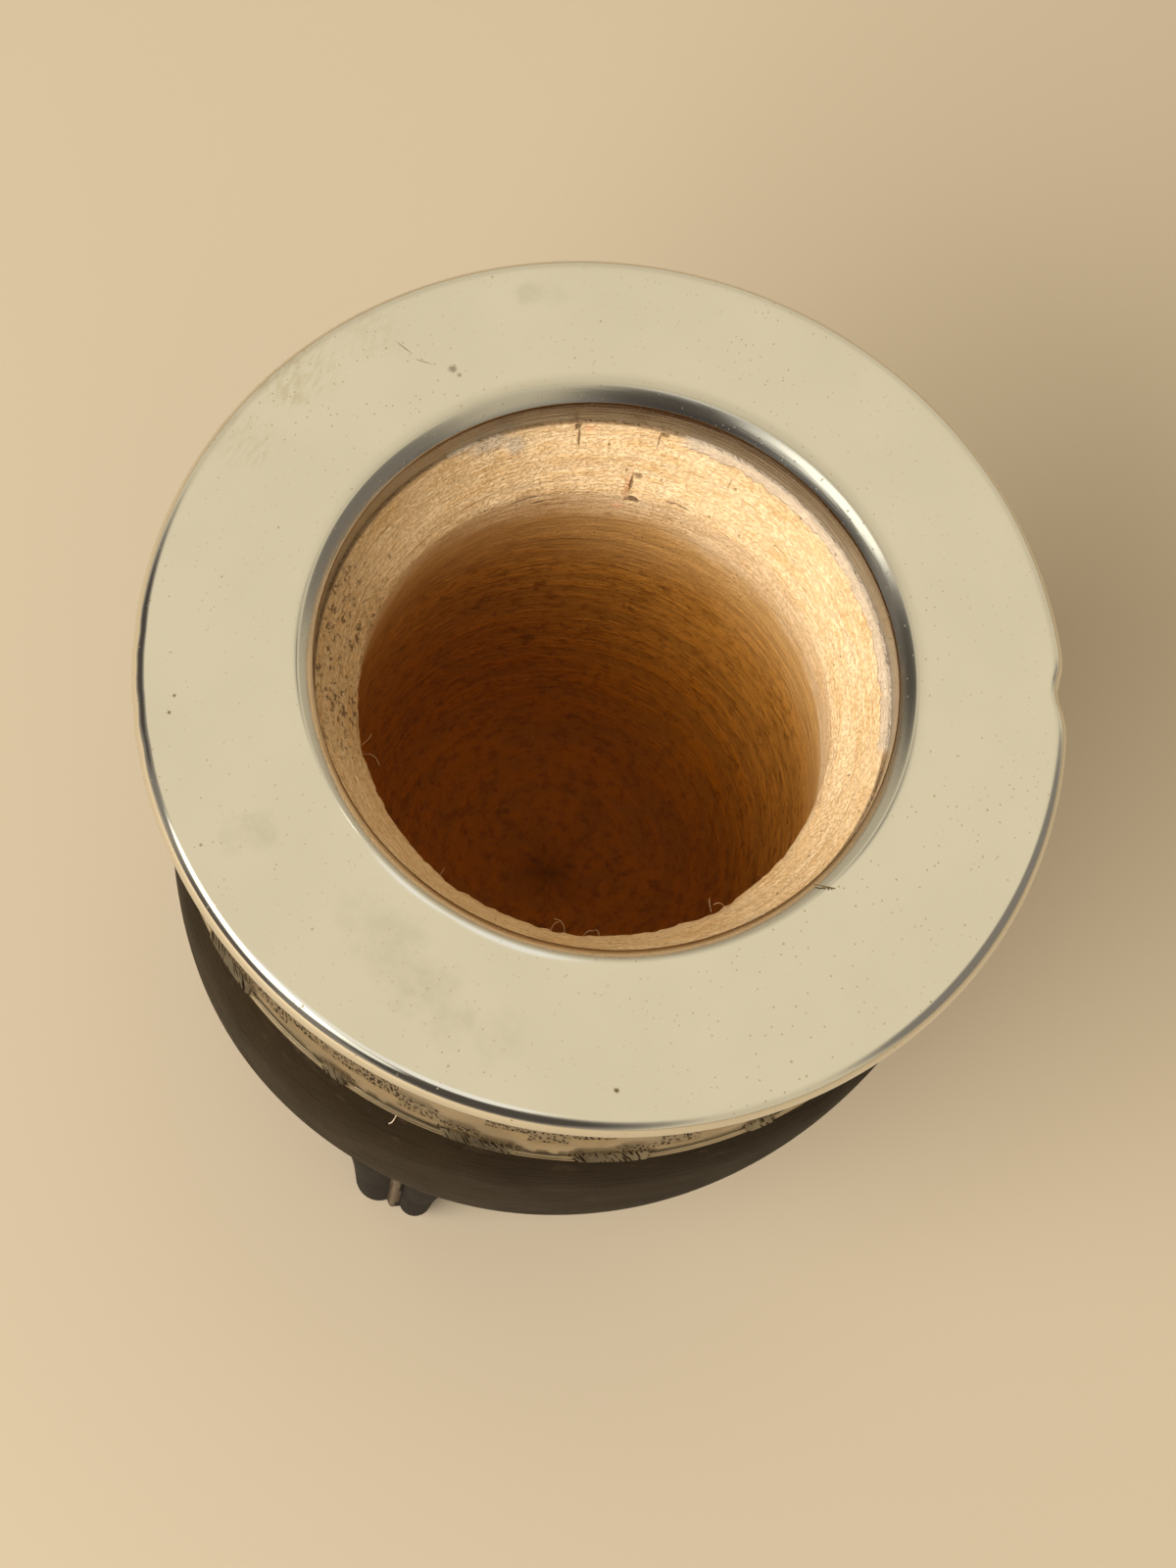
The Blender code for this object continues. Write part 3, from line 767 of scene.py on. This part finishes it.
def press_edge(bm, sizes):
    """Knocks the rolled edge in at the dent and at smaller nicks, and lets the sheet wave a little."""
    knocks = [(DENT_TURN, sizes.dent_depth, sizes.dent_reach)]
    knocks += [(turn, depth * MM, reach * MM) for turn, depth, reach in EDGE_NICKS]
    for vert in bm.verts:
        flat = Vector((vert.co.x, vert.co.y, 0.0))
        for turn, depth, reach in knocks:
            near = math.exp(-((flat - polar(sizes.rim_radius, turn)).length / reach) ** 2)
            vert.co -= flat.normalized() * (depth * near)
        vert.co.z += SHEET_WAVE * MM * noise.noise(flat * SHEET_WAVE_SCALE)


class CUP_OT_rim_plate(bpy.types.Operator):
    """Builds the wide rim plate with its rolled edge, its dent and the mouth's short tube"""
    bl_idname = "cup.rim_plate"
    bl_label = "Rim plate"

    def execute(self, context):
        sizes, colours = context.scene.cup_sizes, context.scene.cup_colours
        bm = spun(plate_outline(sizes), FINE_STEPS, closed=True)
        press_edge(bm, sizes)
        finish_piece("rim_plate", bm, [plate_finish(colours, sizes)], "rim_flange")
        return {"FINISHED"}


# The ridges along the collar's lower edge: their levels, round and how deep its middle lies
BORDER_LINES = (83.95, 83.1)
RIDGE_ROUND, RIDGE_SUNK = 0.22, 0.05
FRET_BEVEL = 0.12


def collar_radius(sizes, level):
    share = (sizes.collar_top - level) / (sizes.collar_top - sizes.collar_bottom)
    return sizes.collar_top_radius + (sizes.collar_bottom_radius - sizes.collar_top_radius) * share


def fret_rows():
    """Levels from top to bottom, in millimetres: the lower half's rows and the same rows turned up."""
    middle = FRET_LEVELS[0]
    return [2 * middle - level for level in reversed(FRET_LEVELS[1:])] + list(FRET_LEVELS[1:])


def collar_outline(sizes):
    """The band's outside from top to bottom, with a ridge at each border line."""
    rows = fret_rows()
    levels = straight((sizes.collar_top, 0.0), (rows[0] * MM + 3.2 * MM, 0.0), 5)
    points = [(collar_radius(sizes, level), level) for level, _ in levels]
    upper = [rows[0] + (rows[-1] - line) for line in reversed(BORDER_LINES)]
    for line in upper:
        points += ridge(sizes, line)
    points += [(collar_radius(sizes, row * MM), row * MM) for row in rows]
    for line in BORDER_LINES:
        points += ridge(sizes, line)
    points.append((sizes.collar_bottom_radius, sizes.collar_bottom))
    return points


def ridge(sizes, line):
    centre = (collar_radius(sizes, line * MM) - RIDGE_SUNK * MM, line * MM)
    return arc(centre, RIDGE_ROUND * MM, 75.0, -75.0, 7)


def is_sunk(point):
    """Whether a place on the band belongs to the fret's sunk ground."""
    rows = fret_rows()
    level = point.z / MM
    if not rows[-1] < level < rows[0]:
        return False
    row = abs(sum(level < edge for edge in rows) - len(rows) // 2)
    column = math.floor(turn_of(point) / FRET_COLUMN) - FRET_TROUGH_COLUMN
    half = FRET_PERIOD // 2
    return row in FRET_SUNK[abs((column + half) % FRET_PERIOD - half)]


class CUP_OT_collar_band(bpy.types.Operator):
    """Builds the collar with its stepped fret in relief and its border lines"""
    bl_idname = "cup.collar_band"
    bl_label = "Collar band"

    def execute(self, context):
        sizes, colours = context.scene.cup_sizes, context.scene.cup_colours
        bm = spun(collar_outline(sizes), FINE_STEPS)
        for face in bm.faces:
            middle = face.calc_center_median()
            if face.normal.x * middle.x + face.normal.y * middle.y < 0.0:
                face.normal_flip()
        sunk = [face for face in bm.faces if is_sunk(face.calc_center_median())]
        bmesh.ops.inset_region(bm, faces=sunk, thickness=FRET_BEVEL * MM, depth=-sizes.fret_depth,
                               use_boundary=True, use_even_offset=True)
        for face in sunk:
            face.material_index = 1
        obj = finish_piece("collar_band", bm, [collar_finish(colours), stipple_finish(colours)], "collar")
        sheet = obj.modifiers.new("Solidify", "SOLIDIFY")
        sheet.thickness, sheet.offset = sizes.collar_sheet, -1.0
        return {"FINISHED"}


# The powers of the body's upper and lower ovals
BODY_POWER_UP = 2.0
BODY_POWER_DOWN = 2.4


def body_curve(sizes, inset, start, end, count):
    """Points down the body's oval, moved in from the outside of the leather by an inset."""
    points = []
    for i in range(count):
        turn = math.radians(start + (end - start) * i / (count - 1))
        upper = turn > 0
        reach = sizes.body_reach_up if upper else sizes.body_reach_down
        power = BODY_POWER_UP if upper else BODY_POWER_DOWN
        across, along = max(math.cos(turn), 0.0), abs(math.sin(turn))
        r = sizes.body_radius * across ** (2 / power)
        z = math.copysign(reach * along ** (2 / power), turn)
        out = Vector((across ** (2 - 2 / power) / sizes.body_radius,
                      math.copysign(along ** (2 - 2 / power) / reach, turn))).normalized()
        points.append((max(0.0, r - out.x * inset), sizes.body_level + z - out.y * inset))
    return points


# Where the leather stands proud or pulls in: turn, height in millimetres and reach in degrees
BODY_SWELLS = ((-104.0, 0.75, 25.0), (-58.0, -0.45, 18.0), (-146.0, -1.0, 22.0), (30.0, -0.3, 30.0),
               (100.0, 0.3, 35.0))


def body_angle(sizes, level):
    return math.degrees(math.asin((level - sizes.body_level) / sizes.body_reach_up))


def underside(sizes, radius):
    """The level of the body's lower oval at a distance from the axis."""
    share = min(1.0, radius / sizes.body_radius) ** BODY_POWER_DOWN
    return sizes.body_level - sizes.body_reach_down * (1.0 - share) ** (1.0 / BODY_POWER_DOWN)


BODY_SWELL_TALL = 17.0
LEATHER_WAVE, LEATHER_WAVE_SCALE = 0.12, 45.0


def swell(vert, sizes):
    """The hand-drawn leather isn't quite round: it stands proud in places and pulls in at others."""
    turn = turn_of(vert.co)
    high = math.exp(-((vert.co.z - sizes.body_level) / (BODY_SWELL_TALL * MM)) ** 2)
    out = waves_at(turn, BODY_SWELLS) * high + LEATHER_WAVE * noise.noise(vert.co * LEATHER_WAVE_SCALE)
    flat = Vector((vert.co.x, vert.co.y, 0.0))
    if flat.length > MM:
        vert.co += flat.normalized() * (out * MM)


class CUP_OT_leather_cover(bpy.types.Operator):
    """Builds the leather bag that is drawn over the body"""
    bl_idname = "cup.leather_cover"
    bl_label = "Leather cover"

    def execute(self, context):
        sizes, colours = context.scene.cup_sizes, context.scene.cup_colours
        top = body_angle(sizes, sizes.cover_top)
        outline = body_curve(sizes, sizes.cover_thickness, -90.0, top, 40)
        outline += body_curve(sizes, 0.0, top, -90.0, 64)
        bm = spun(outline, FINE_STEPS)
        for vert in bm.verts:
            swell(vert, sizes)
        finish = leather_finish("black-brown leather", colours.leather, colours.leather_edge)
        finish_piece("leather_bag", bm, [finish], "leather_cover")
        return {"FINISHED"}


FOOT_NAMES = ("front", "right", "back", "left")
FOOT_FIRST_TURN = -90.0
FOOT_LEVELS = 26
# In millimetres: each layer's round and its place across, the welt, the heel and the toe
FOOT_LOBES = ((2.9, -2.9), (2.0, 2.4))
WELT_ROUND, WELT_BACK, WELT_SIDE, WELT_DEEP = 0.55, 1.5, -0.1, 2.6
WELT_SIDES = (-0.75, 0.55)
HEEL_ROUND, HEEL_PLACE, HEEL_TUCK, HEEL_SIDE = 3.0, 17.0, 7.5, 1.9
RIGHT_BACK = 0.4
TOE, TOE_GROWTH = 3.0, 5.0
FOOT_BURIED = 0.9
FOOT_SHAKE, FOOT_SHAKE_SCALE, FOOT_SEED = 0.16, 90.0, 1
# How the foot grows with its share of the height: its rise, its flare and the heel's tuck
FOOT_RISE_POWER = 1.35
FOOT_FLARE, FOOT_FLARE_POWER = 0.75, 2.2
TUCK_FADE, TUCK_POWER = 1.6, 1.5


def foot_section(sizes, inset, flare, tuck):
    """A foot seen from above: two pinched layers with a thin welt between them, and a round heel inside."""
    (left, left_at), (right, right_at) = [millimetres(*lobe) for lobe in FOOT_LOBES]
    reach = sizes.foot_reach
    heel_round, heel_side = millimetres(HEEL_ROUND, HEEL_SIDE)
    heel = HEEL_PLACE * MM + HEEL_TUCK * MM * tuck
    points = arc((reach - left, left_at), left - inset, -90.0, 62.0, 12)
    points += arc((reach - WELT_BACK * MM, WELT_SIDE * MM), WELT_ROUND * MM, -55.0, 55.0, 6)
    points += arc((reach - right - RIGHT_BACK * MM, right_at), right - inset, -62.0, 90.0, 10)
    points += arc((heel, heel_side), heel_round - inset, 90.0, 180.0, 7)
    points += arc((heel, -heel_side), heel_round - inset, 180.0, 270.0, 7)
    return [(r, y * flare) for r, y in points]


def foot_bmesh(sizes, turn):
    """Carries the section up from the flat sole, over the round toe, to the body's underside."""
    bm = bmesh.new()
    toe = TOE * MM
    round_foot = Matrix.Rotation(math.radians(turn), 3, "Z")
    top = bm.faces.new([bm.verts.new((r, y, 0.0)) for r, y in foot_section(sizes, 0.5 * toe, 1.0, 1.0)])
    bottom = top
    for index in range(FOOT_LEVELS):
        share = (index + 1) / FOOT_LEVELS
        below = top
        grown = bmesh.ops.extrude_face_region(bm, geom=[below])["geom"]
        top = next(part for part in grown if isinstance(part, bmesh.types.BMFace))
        if below is not bottom:
            bmesh.ops.delete(bm, geom=[below], context="FACES_ONLY")
        inset = 0.5 * toe * (1.0 - math.sin(min(1.0, share * TOE_GROWTH) * math.pi / 2))
        flare = 1.0 + FOOT_FLARE * share ** FOOT_FLARE_POWER
        section = foot_section(sizes, inset, flare, max(0.0, 1.0 - TUCK_FADE * share) ** TUCK_POWER)
        for vert, (r, y) in zip(top.verts, section):
            ceiling = underside(sizes, Vector((r, y)).length) + FOOT_BURIED * MM
            vert.co = (r, y, TABLE + ceiling * share ** FOOT_RISE_POWER)
    welt_low, welt_high = millimetres(*WELT_SIDES)
    for face in bm.faces:
        middle = face.calc_center_median()
        if welt_low < middle.y < welt_high and middle.x > sizes.foot_reach - WELT_DEEP * MM:
            face.material_index = 1
    noise.seed_set(FOOT_SEED)
    for vert in bm.verts:
        shake = noise.noise_vector(vert.co * FOOT_SHAKE_SCALE) * (FOOT_SHAKE * MM)
        vert.co += Vector((shake.x, shake.y, 0.0))
        vert.co = round_foot @ vert.co
    bmesh.ops.recalc_face_normals(bm, faces=bm.faces)
    return bm


class CUP_OT_leather_feet(bpy.types.Operator):
    """Builds the feet, each of two pinched layers of leather with a welt between them"""
    bl_idname = "cup.leather_feet"
    bl_label = "Leather feet"

    def execute(self, context):
        sizes, colours = context.scene.cup_sizes, context.scene.cup_colours
        # The feet's leather colour is painted shade from the body's overhang
        finishes = [leather_finish("foot leather", colours.foot_leather, colours.leather),
                    leather_edge_finish(colours)]
        for index, where in enumerate(FOOT_NAMES):
            bm = foot_bmesh(sizes, FOOT_FIRST_TURN + 360.0 / len(FOOT_NAMES) * index)
            finish_piece("foot_" + where, bm, finishes, "leather_foot_" + where)
        return {"FINISHED"}


# Chips in the bore's edge: turn, depth in millimetres and reach in degrees
EDGE_CHIPS = (
    (-34.5, 0.40, 2.0), (-39.0, 0.30, 1.3), (-30.5, 0.25, 1.2), (-68.0, 0.25, 1.8), (-73.5, 0.20, 2.2),
    (-100.0, 0.20, 2.4), (107.0, 0.45, 1.4), (132.0, 0.30, 3.0), (20.0, 0.12, 3.0), (-140.0, 0.2, 2.0),
)
# The crack over the edge: turn, half width in degrees, height over the edge, half height and depth
CRACK_TURN, CRACK_WIDE, CRACK_RISE, CRACK_TALL, CRACK_DEPTH = 107.6, 0.55, 1.6, 1.9, 0.55
# The hidden neck of the vessel, in millimetres
NECK_LEVEL, NECK_RADIUS, NECK_CHAMFER = 106.8, 34.2, 1.0
REBATE_RADIUS = 29.4
COVER_CLEARANCE = 0.3
BORE_POINTS, BORE_POWER = 44, 2.5


def vessel_outline(sizes):
    """From the middle of the floor up the bore, over the edge and the sloping lip, and down the outside."""
    depth = sizes.bore_widest - sizes.bore_floor
    power = 2.0 / BORE_POWER
    points = []
    for i in range(BORE_POINTS):
        turn = math.radians(90.0 - 90.0 * i / (BORE_POINTS - 1))
        points.append((sizes.bore_radius * math.cos(turn) ** power if i else 0.0,
                       sizes.bore_widest - depth * math.sin(turn) ** power))
    edge, level = sizes.bore_edge_radius, sizes.bore_edge_level
    points += bend(points[-1], (sizes.bore_radius, level - 12.0 * MM), (edge + 0.2 * MM, level - 7.0 * MM),
                   (edge, level - 0.8 * MM), 26)[1:]
    points += bend(points[-1], (edge - 0.1 * MM, level - 0.2 * MM), (edge, level + 0.3 * MM),
                   (edge + 0.45 * MM, level + 1.0 * MM), 7)[1:]
    lip, top = sizes.lip_radius, sizes.lip_top
    points += bend(points[-1], (edge + 1.5 * MM, level + 3.0 * MM), (lip - 1.2 * MM, top - 2.0 * MM),
                   (lip, top), 24)[1:]
    points += [millimetres(REBATE_RADIUS, sizes.lip_top / MM), millimetres(REBATE_RADIUS, NECK_LEVEL),
               millimetres(NECK_RADIUS - NECK_CHAMFER, NECK_LEVEL),
               millimetres(NECK_RADIUS, NECK_LEVEL - NECK_CHAMFER)]
    inset = sizes.cover_thickness + COVER_CLEARANCE * MM
    points += body_curve(sizes, inset, body_angle(sizes, sizes.cover_top), -90.0, 30)
    return points


# The bore's torn edge and the lathe's rings: heights in millimetres, and how close the noise is
EDGE_BAND = 1.1
TEAR, TEAR_SCALE = 0.17, 24.0
GRIT, GRIT_SCALE = 0.10, 1400.0
RING, RING_SCALE_ROUND, RING_SCALE_UP = 0.10, 1.5, 350.0


def roughen_edge(vert, sizes):
    """Tears the bore's edge a little, chips it, and opens the short crack over it."""
    turn = turn_of(vert.co)
    flat = Vector((vert.co.x, vert.co.y, 0.0))
    if flat.length < MM or flat.length > sizes.lip_radius:
        return
    out = flat.normalized()
    near_edge = math.exp(-((vert.co.z - sizes.bore_edge_level) / (EDGE_BAND * MM)) ** 2)
    tear = noise.noise(polar(1.0, turn) * TEAR_SCALE)
    grit = noise.noise(vert.co * GRIT_SCALE)
    move = near_edge * (TEAR * tear + GRIT * grit)
    move += near_edge * waves_at(turn, EDGE_CHIPS)
    if sizes.bore_edge_level + 0.3 * MM < vert.co.z < sizes.lip_top - 0.5 * MM:
        crack = math.exp(-(apart(turn, CRACK_TURN) / CRACK_WIDE) ** 2)
        rise = vert.co.z - (sizes.bore_edge_level + CRACK_RISE * MM)
        move += CRACK_DEPTH * crack * math.exp(-(rise / (CRACK_TALL * MM)) ** 2)
    vert.co += out * (move * MM)
    if sizes.bore_floor + 4.0 * MM < vert.co.z < sizes.lip_top:
        where = Vector((out.x * RING_SCALE_ROUND, out.y * RING_SCALE_ROUND, vert.co.z * RING_SCALE_UP))
        vert.co += out * (RING * MM * noise.noise(where))


class CUP_OT_vessel(bpy.types.Operator):
    """Builds the turned vessel with its sloping lip, torn edge and deep bore"""
    bl_idname = "cup.vessel"
    bl_label = "Vessel"

    def execute(self, context):
        sizes, colours = context.scene.cup_sizes, context.scene.cup_colours
        bm = spun(vessel_outline(sizes), WOOD_STEPS)
        for vert in bm.verts:
            roughen_edge(vert, sizes)
        finish_piece("turned_vessel", bm, [wood_finish(colours, sizes)], "vessel")
        return {"FINISHED"}


# Loose fibres: turn, radius, level, length and lean, in degrees and millimetres
EDGE_FIBRES = (
    (-139.5, 23.3, 97.2, 2.4, 40.0), (-142.0, 23.2, 97.0, 1.8, -30.0), (-75.0, 23.3, 97.3, 1.6, 25.0),
    (-71.5, 23.3, 97.3, 2.2, -35.0), (-67.5, 23.4, 97.3, 1.5, 50.0), (-63.5, 23.4, 97.3, 1.2, -20.0),
    (-36.0, 23.2, 97.4, 1.8, 15.0), (-32.5, 23.3, 97.4, 1.3, -45.0), (-104.0, 23.3, 97.3, 1.2, -10.0),
    (126.0, 27.4, 103.2, 1.4, -60.0), (98.0, 23.4, 98.0, 0.9, 35.0),
)
# Thread ends: the same, then the tone and its colour
THREAD_ENDS = ((-89.4, 42.75, 83.0, 1.1, -12.0, "pale", "glue"),
               (-93.3, 42.7, 83.2, 1.3, 12.0, "dark", "leather"))
# The burr on the mouth's crest: for each strand, points given as radius, turn and height over the crest
BURRS = (((28.5, -22.6, -0.5), (29.2, -22.0, 0.05), (30.2, -20.6, 0.12)),
         ((29.2, -22.2, 0.0), (29.7, -21.7, 0.25), (29.9, -21.9, 0.4)))
# Half thicknesses in millimetres
FIBRE_THICK, THREAD_THICK, BURR_THICK = 0.028, 0.055, 0.07


def fibre_curve(name, strands, thickness, finish):
    """Thin bent strands as one bevelled curve, each through three points."""
    data = bpy.data.curves.new(name, "CURVE")
    data.dimensions = "3D"
    data.bevel_depth = thickness * MM
    data.bevel_resolution = 1
    data.use_fill_caps = True
    data.resolution_u = 6
    for points in strands:
        spline = data.splines.new("BEZIER")
        spline.bezier_points.add(len(points) - 1)
        for knot, point in zip(spline.bezier_points, points):
            knot.co = point
            knot.handle_left_type = knot.handle_right_type = "AUTO"
    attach(add_object(name, data, [finish]), "root")


def edge_strand(turn, radius, level, reach, lean):
    """A fibre that starts in the wood, leans over the bore and curls at its end."""
    start = polar((radius + 0.4) * MM, turn, level * MM)
    side = polar(1.0, turn + 90.0) * math.sin(math.radians(lean))
    inward = polar(-1.0, turn) * math.cos(math.radians(lean))
    middle = start + (inward * 0.5 + side * 0.4 + Vector((0, 0, 0.28))) * (reach * MM)
    end = start + (inward * 0.72 + side * 1.0 + Vector((0, 0, 0.1))) * (reach * MM)
    return start, middle, end


def thread_strand(turn, radius, level, reach, lean):
    """A short end of thread that pokes out under the collar and hangs over the leather."""
    start = polar((radius - 0.5) * MM, turn, level * MM)
    middle = polar((radius + 0.35) * MM, turn + lean * 0.01, (level - 0.3 * reach) * MM)
    end = polar((radius + 0.55) * MM, turn + lean * 0.04, (level - reach) * MM)
    return start, middle, end


class CUP_OT_loose_bits(bpy.types.Operator):
    """Builds the loose wood fibres, the thread ends under the collar and the burr at the mouth"""
    bl_idname = "cup.loose_bits"
    bl_label = "Loose bits"

    def execute(self, context):
        sizes, colours = context.scene.cup_sizes, context.scene.cup_colours
        fibre = fibre_finish("wood fibre", colours.fibre)
        fibre_curve("edge_fibres", [edge_strand(*row) for row in EDGE_FIBRES], FIBRE_THICK, fibre)
        for *place, tone, tint in THREAD_ENDS:
            finish = fibre_finish(tone + " thread", getattr(colours, tint))
            fibre_curve(tone + "_thread_end", [thread_strand(*place)], THREAD_THICK, finish)
        crest = sizes.rim_level + sizes.mouth_rise
        burrs = [[polar(radius * MM, turn, crest + rise * MM) for radius, turn, rise in burr]
                 for burr in BURRS]
        fibre_curve("mouth_burr", burrs, BURR_THICK, fibre_finish("burr", colours.fleck))
        return {"FINISHED"}


# The camera, fitted to the photograph's ellipses
CAMERA_PLACE = Vector((0.016682, -0.095619, 0.330208))
CAMERA_RIGHT = Vector((0.89279, 0.43649, 0.11138))
CAMERA_UP = Vector((-0.447, 0.82775, 0.33916))
CAMERA_LENS = 58.5
SENSOR = 36.0
FLOOR_SIZE = 3.0
# The window light: turn and lift in degrees, distance, aim's height and size in metres, power in watts
KEY_TURN, KEY_LIFT, KEY_AWAY, KEY_AIM = -119.0, 35.0, 1.0, 0.1
KEY_WIDE, KEY_TALL, KEY_POWER = 0.92, 0.70, 16.0
# Soft patches of the room: turn, lift and half width in degrees, the colour's name and its strength
ROOM_PATCHES = (
    (-78.0, 22.0, 30.0, "dim_side", 1.0), (-125.0, 8.0, 24.0, "dim_side", 1.0),
    (-172.0, 20.0, 24.0, "dim_side", 1.0), (15.0, 15.0, 28.0, "dim_side", 1.0),
    (-80.0, 24.0, 22.0, "shade", 1.0), (-176.0, 20.0, 14.0, "shade", 1.0),
    (-130.0, 8.0, 12.0, "shade", 1.5), (-85.0, 59.0, 11.0, "glow", 1.0),
    (-118.0, 57.0, 9.0, "glow", 1.0), (-106.0, 38.0, 9.0, "window", 1.1),
    (-140.0, 37.0, 11.0, "window", 2.3), (-124.0, 37.0, 13.0, "window", 2.3),
)


def room_light(colours):
    """A pale room with duller walls, dark patches and a window, for the polish to reflect."""
    world = bpy.data.worlds.new("room")
    world.use_nodes = True
    bpy.context.scene.world = world
    net = Net(world.node_tree)
    back = world.node_tree.nodes["Background"]
    way = net.add("ShaderNodeTexCoord").outputs["Generated"]
    base = net.mix(net.ramp(net.split(way)[2], 0.35, 0.82), colours.walls, colours.ceiling)
    for turn, up, wide, name, strength in ROOM_PATCHES:
        centre = polar(math.cos(math.radians(up)), turn, math.sin(math.radians(up)))
        nearness = net.vector("DOT_PRODUCT", net.vector("NORMALIZE", way), centre)
        inner, outer = math.cos(math.radians(wide * 0.75)), math.cos(math.radians(wide * 1.25))
        base = net.mix(net.ramp(nearness, outer, inner), base, darker(getattr(colours, name), strength))
    net.join(base, back.inputs["Color"])


class CUP_OT_stage(bpy.types.Operator):
    """Sets the pale floor, the soft window light, the room's light and the camera"""
    bl_idname = "cup.stage"
    bl_label = "Stage"

    def execute(self, context):
        scene, colours = context.scene, context.scene.cup_colours
        bm = bmesh.new()
        bmesh.ops.create_grid(bm, x_segments=1, y_segments=1, size=FLOOR_SIZE / 2)
        bmesh.ops.translate(bm, verts=bm.verts, vec=(0.0, 0.0, TABLE))
        add_mesh("floor", bm, [floor_finish(colours)])

        key = bpy.data.lights.new("window", "AREA")
        key.shape = "RECTANGLE"
        key.size, key.size_y, key.energy = KEY_WIDE, KEY_TALL, KEY_POWER
        lamp = add_object("window", key)
        lamp.visible_glossy = False
        lift = math.radians(KEY_LIFT)
        lamp.location = polar(KEY_AWAY * math.cos(lift), KEY_TURN, KEY_AWAY * math.sin(lift) + KEY_AIM)
        lamp.rotation_euler = (math.radians(90.0 - KEY_LIFT), 0.0, math.radians(KEY_TURN + 90.0))

        room_light(colours)

        view = bpy.data.cameras.new("photo view")
        view.lens, view.sensor_width, view.sensor_fit = CAMERA_LENS, SENSOR, "AUTO"
        view.clip_start = 0.01
        camera = add_object("photo view", view)
        back = CAMERA_RIGHT.cross(CAMERA_UP).normalized()
        up = back.cross(CAMERA_RIGHT).normalized()
        turn = Matrix((CAMERA_RIGHT.normalized(), up, back)).transposed()
        camera.matrix_world = Matrix.Translation(CAMERA_PLACE) @ turn.to_4x4()
        scene.camera = camera
        scene.view_settings.view_transform = "Standard"
        return {"FINISHED"}


class CUP_PT_panel(bpy.types.Panel):
    """Lists the pieces of the cup"""
    bl_label = "Mate cup"
    bl_space_type = "VIEW_3D"
    bl_region_type = "UI"
    bl_category = "Mate cup"

    def draw(self, context):
        for operator in OPERATORS:
            self.layout.operator(operator.bl_idname)
        for settings in (context.scene.cup_sizes, context.scene.cup_colours):
            box = self.layout.box()
            for key in settings.bl_rna.properties.keys():
                if key not in ("rna_type", "name"):
                    box.prop(settings, key)


OPERATORS = (CUP_OT_rim_plate, CUP_OT_collar_band, CUP_OT_leather_cover, CUP_OT_leather_feet, CUP_OT_vessel,
             CUP_OT_loose_bits, CUP_OT_stage)
CLASSES = (CupSizes, CupColours, *OPERATORS, CUP_PT_panel)


def register():
    for cls in CLASSES:
        bpy.utils.register_class(cls)
    bpy.types.Scene.cup_sizes = PointerProperty(type=CupSizes)
    bpy.types.Scene.cup_colours = PointerProperty(type=CupColours)


def unregister():
    del bpy.types.Scene.cup_sizes
    del bpy.types.Scene.cup_colours
    for cls in reversed(CLASSES):
        bpy.utils.unregister_class(cls)


def main():
    register()
    make_effects()
    for operator in OPERATORS:
        family, name = operator.bl_idname.split(".")
        getattr(getattr(bpy.ops, family), name)()


if __name__ == "__main__":
    main()
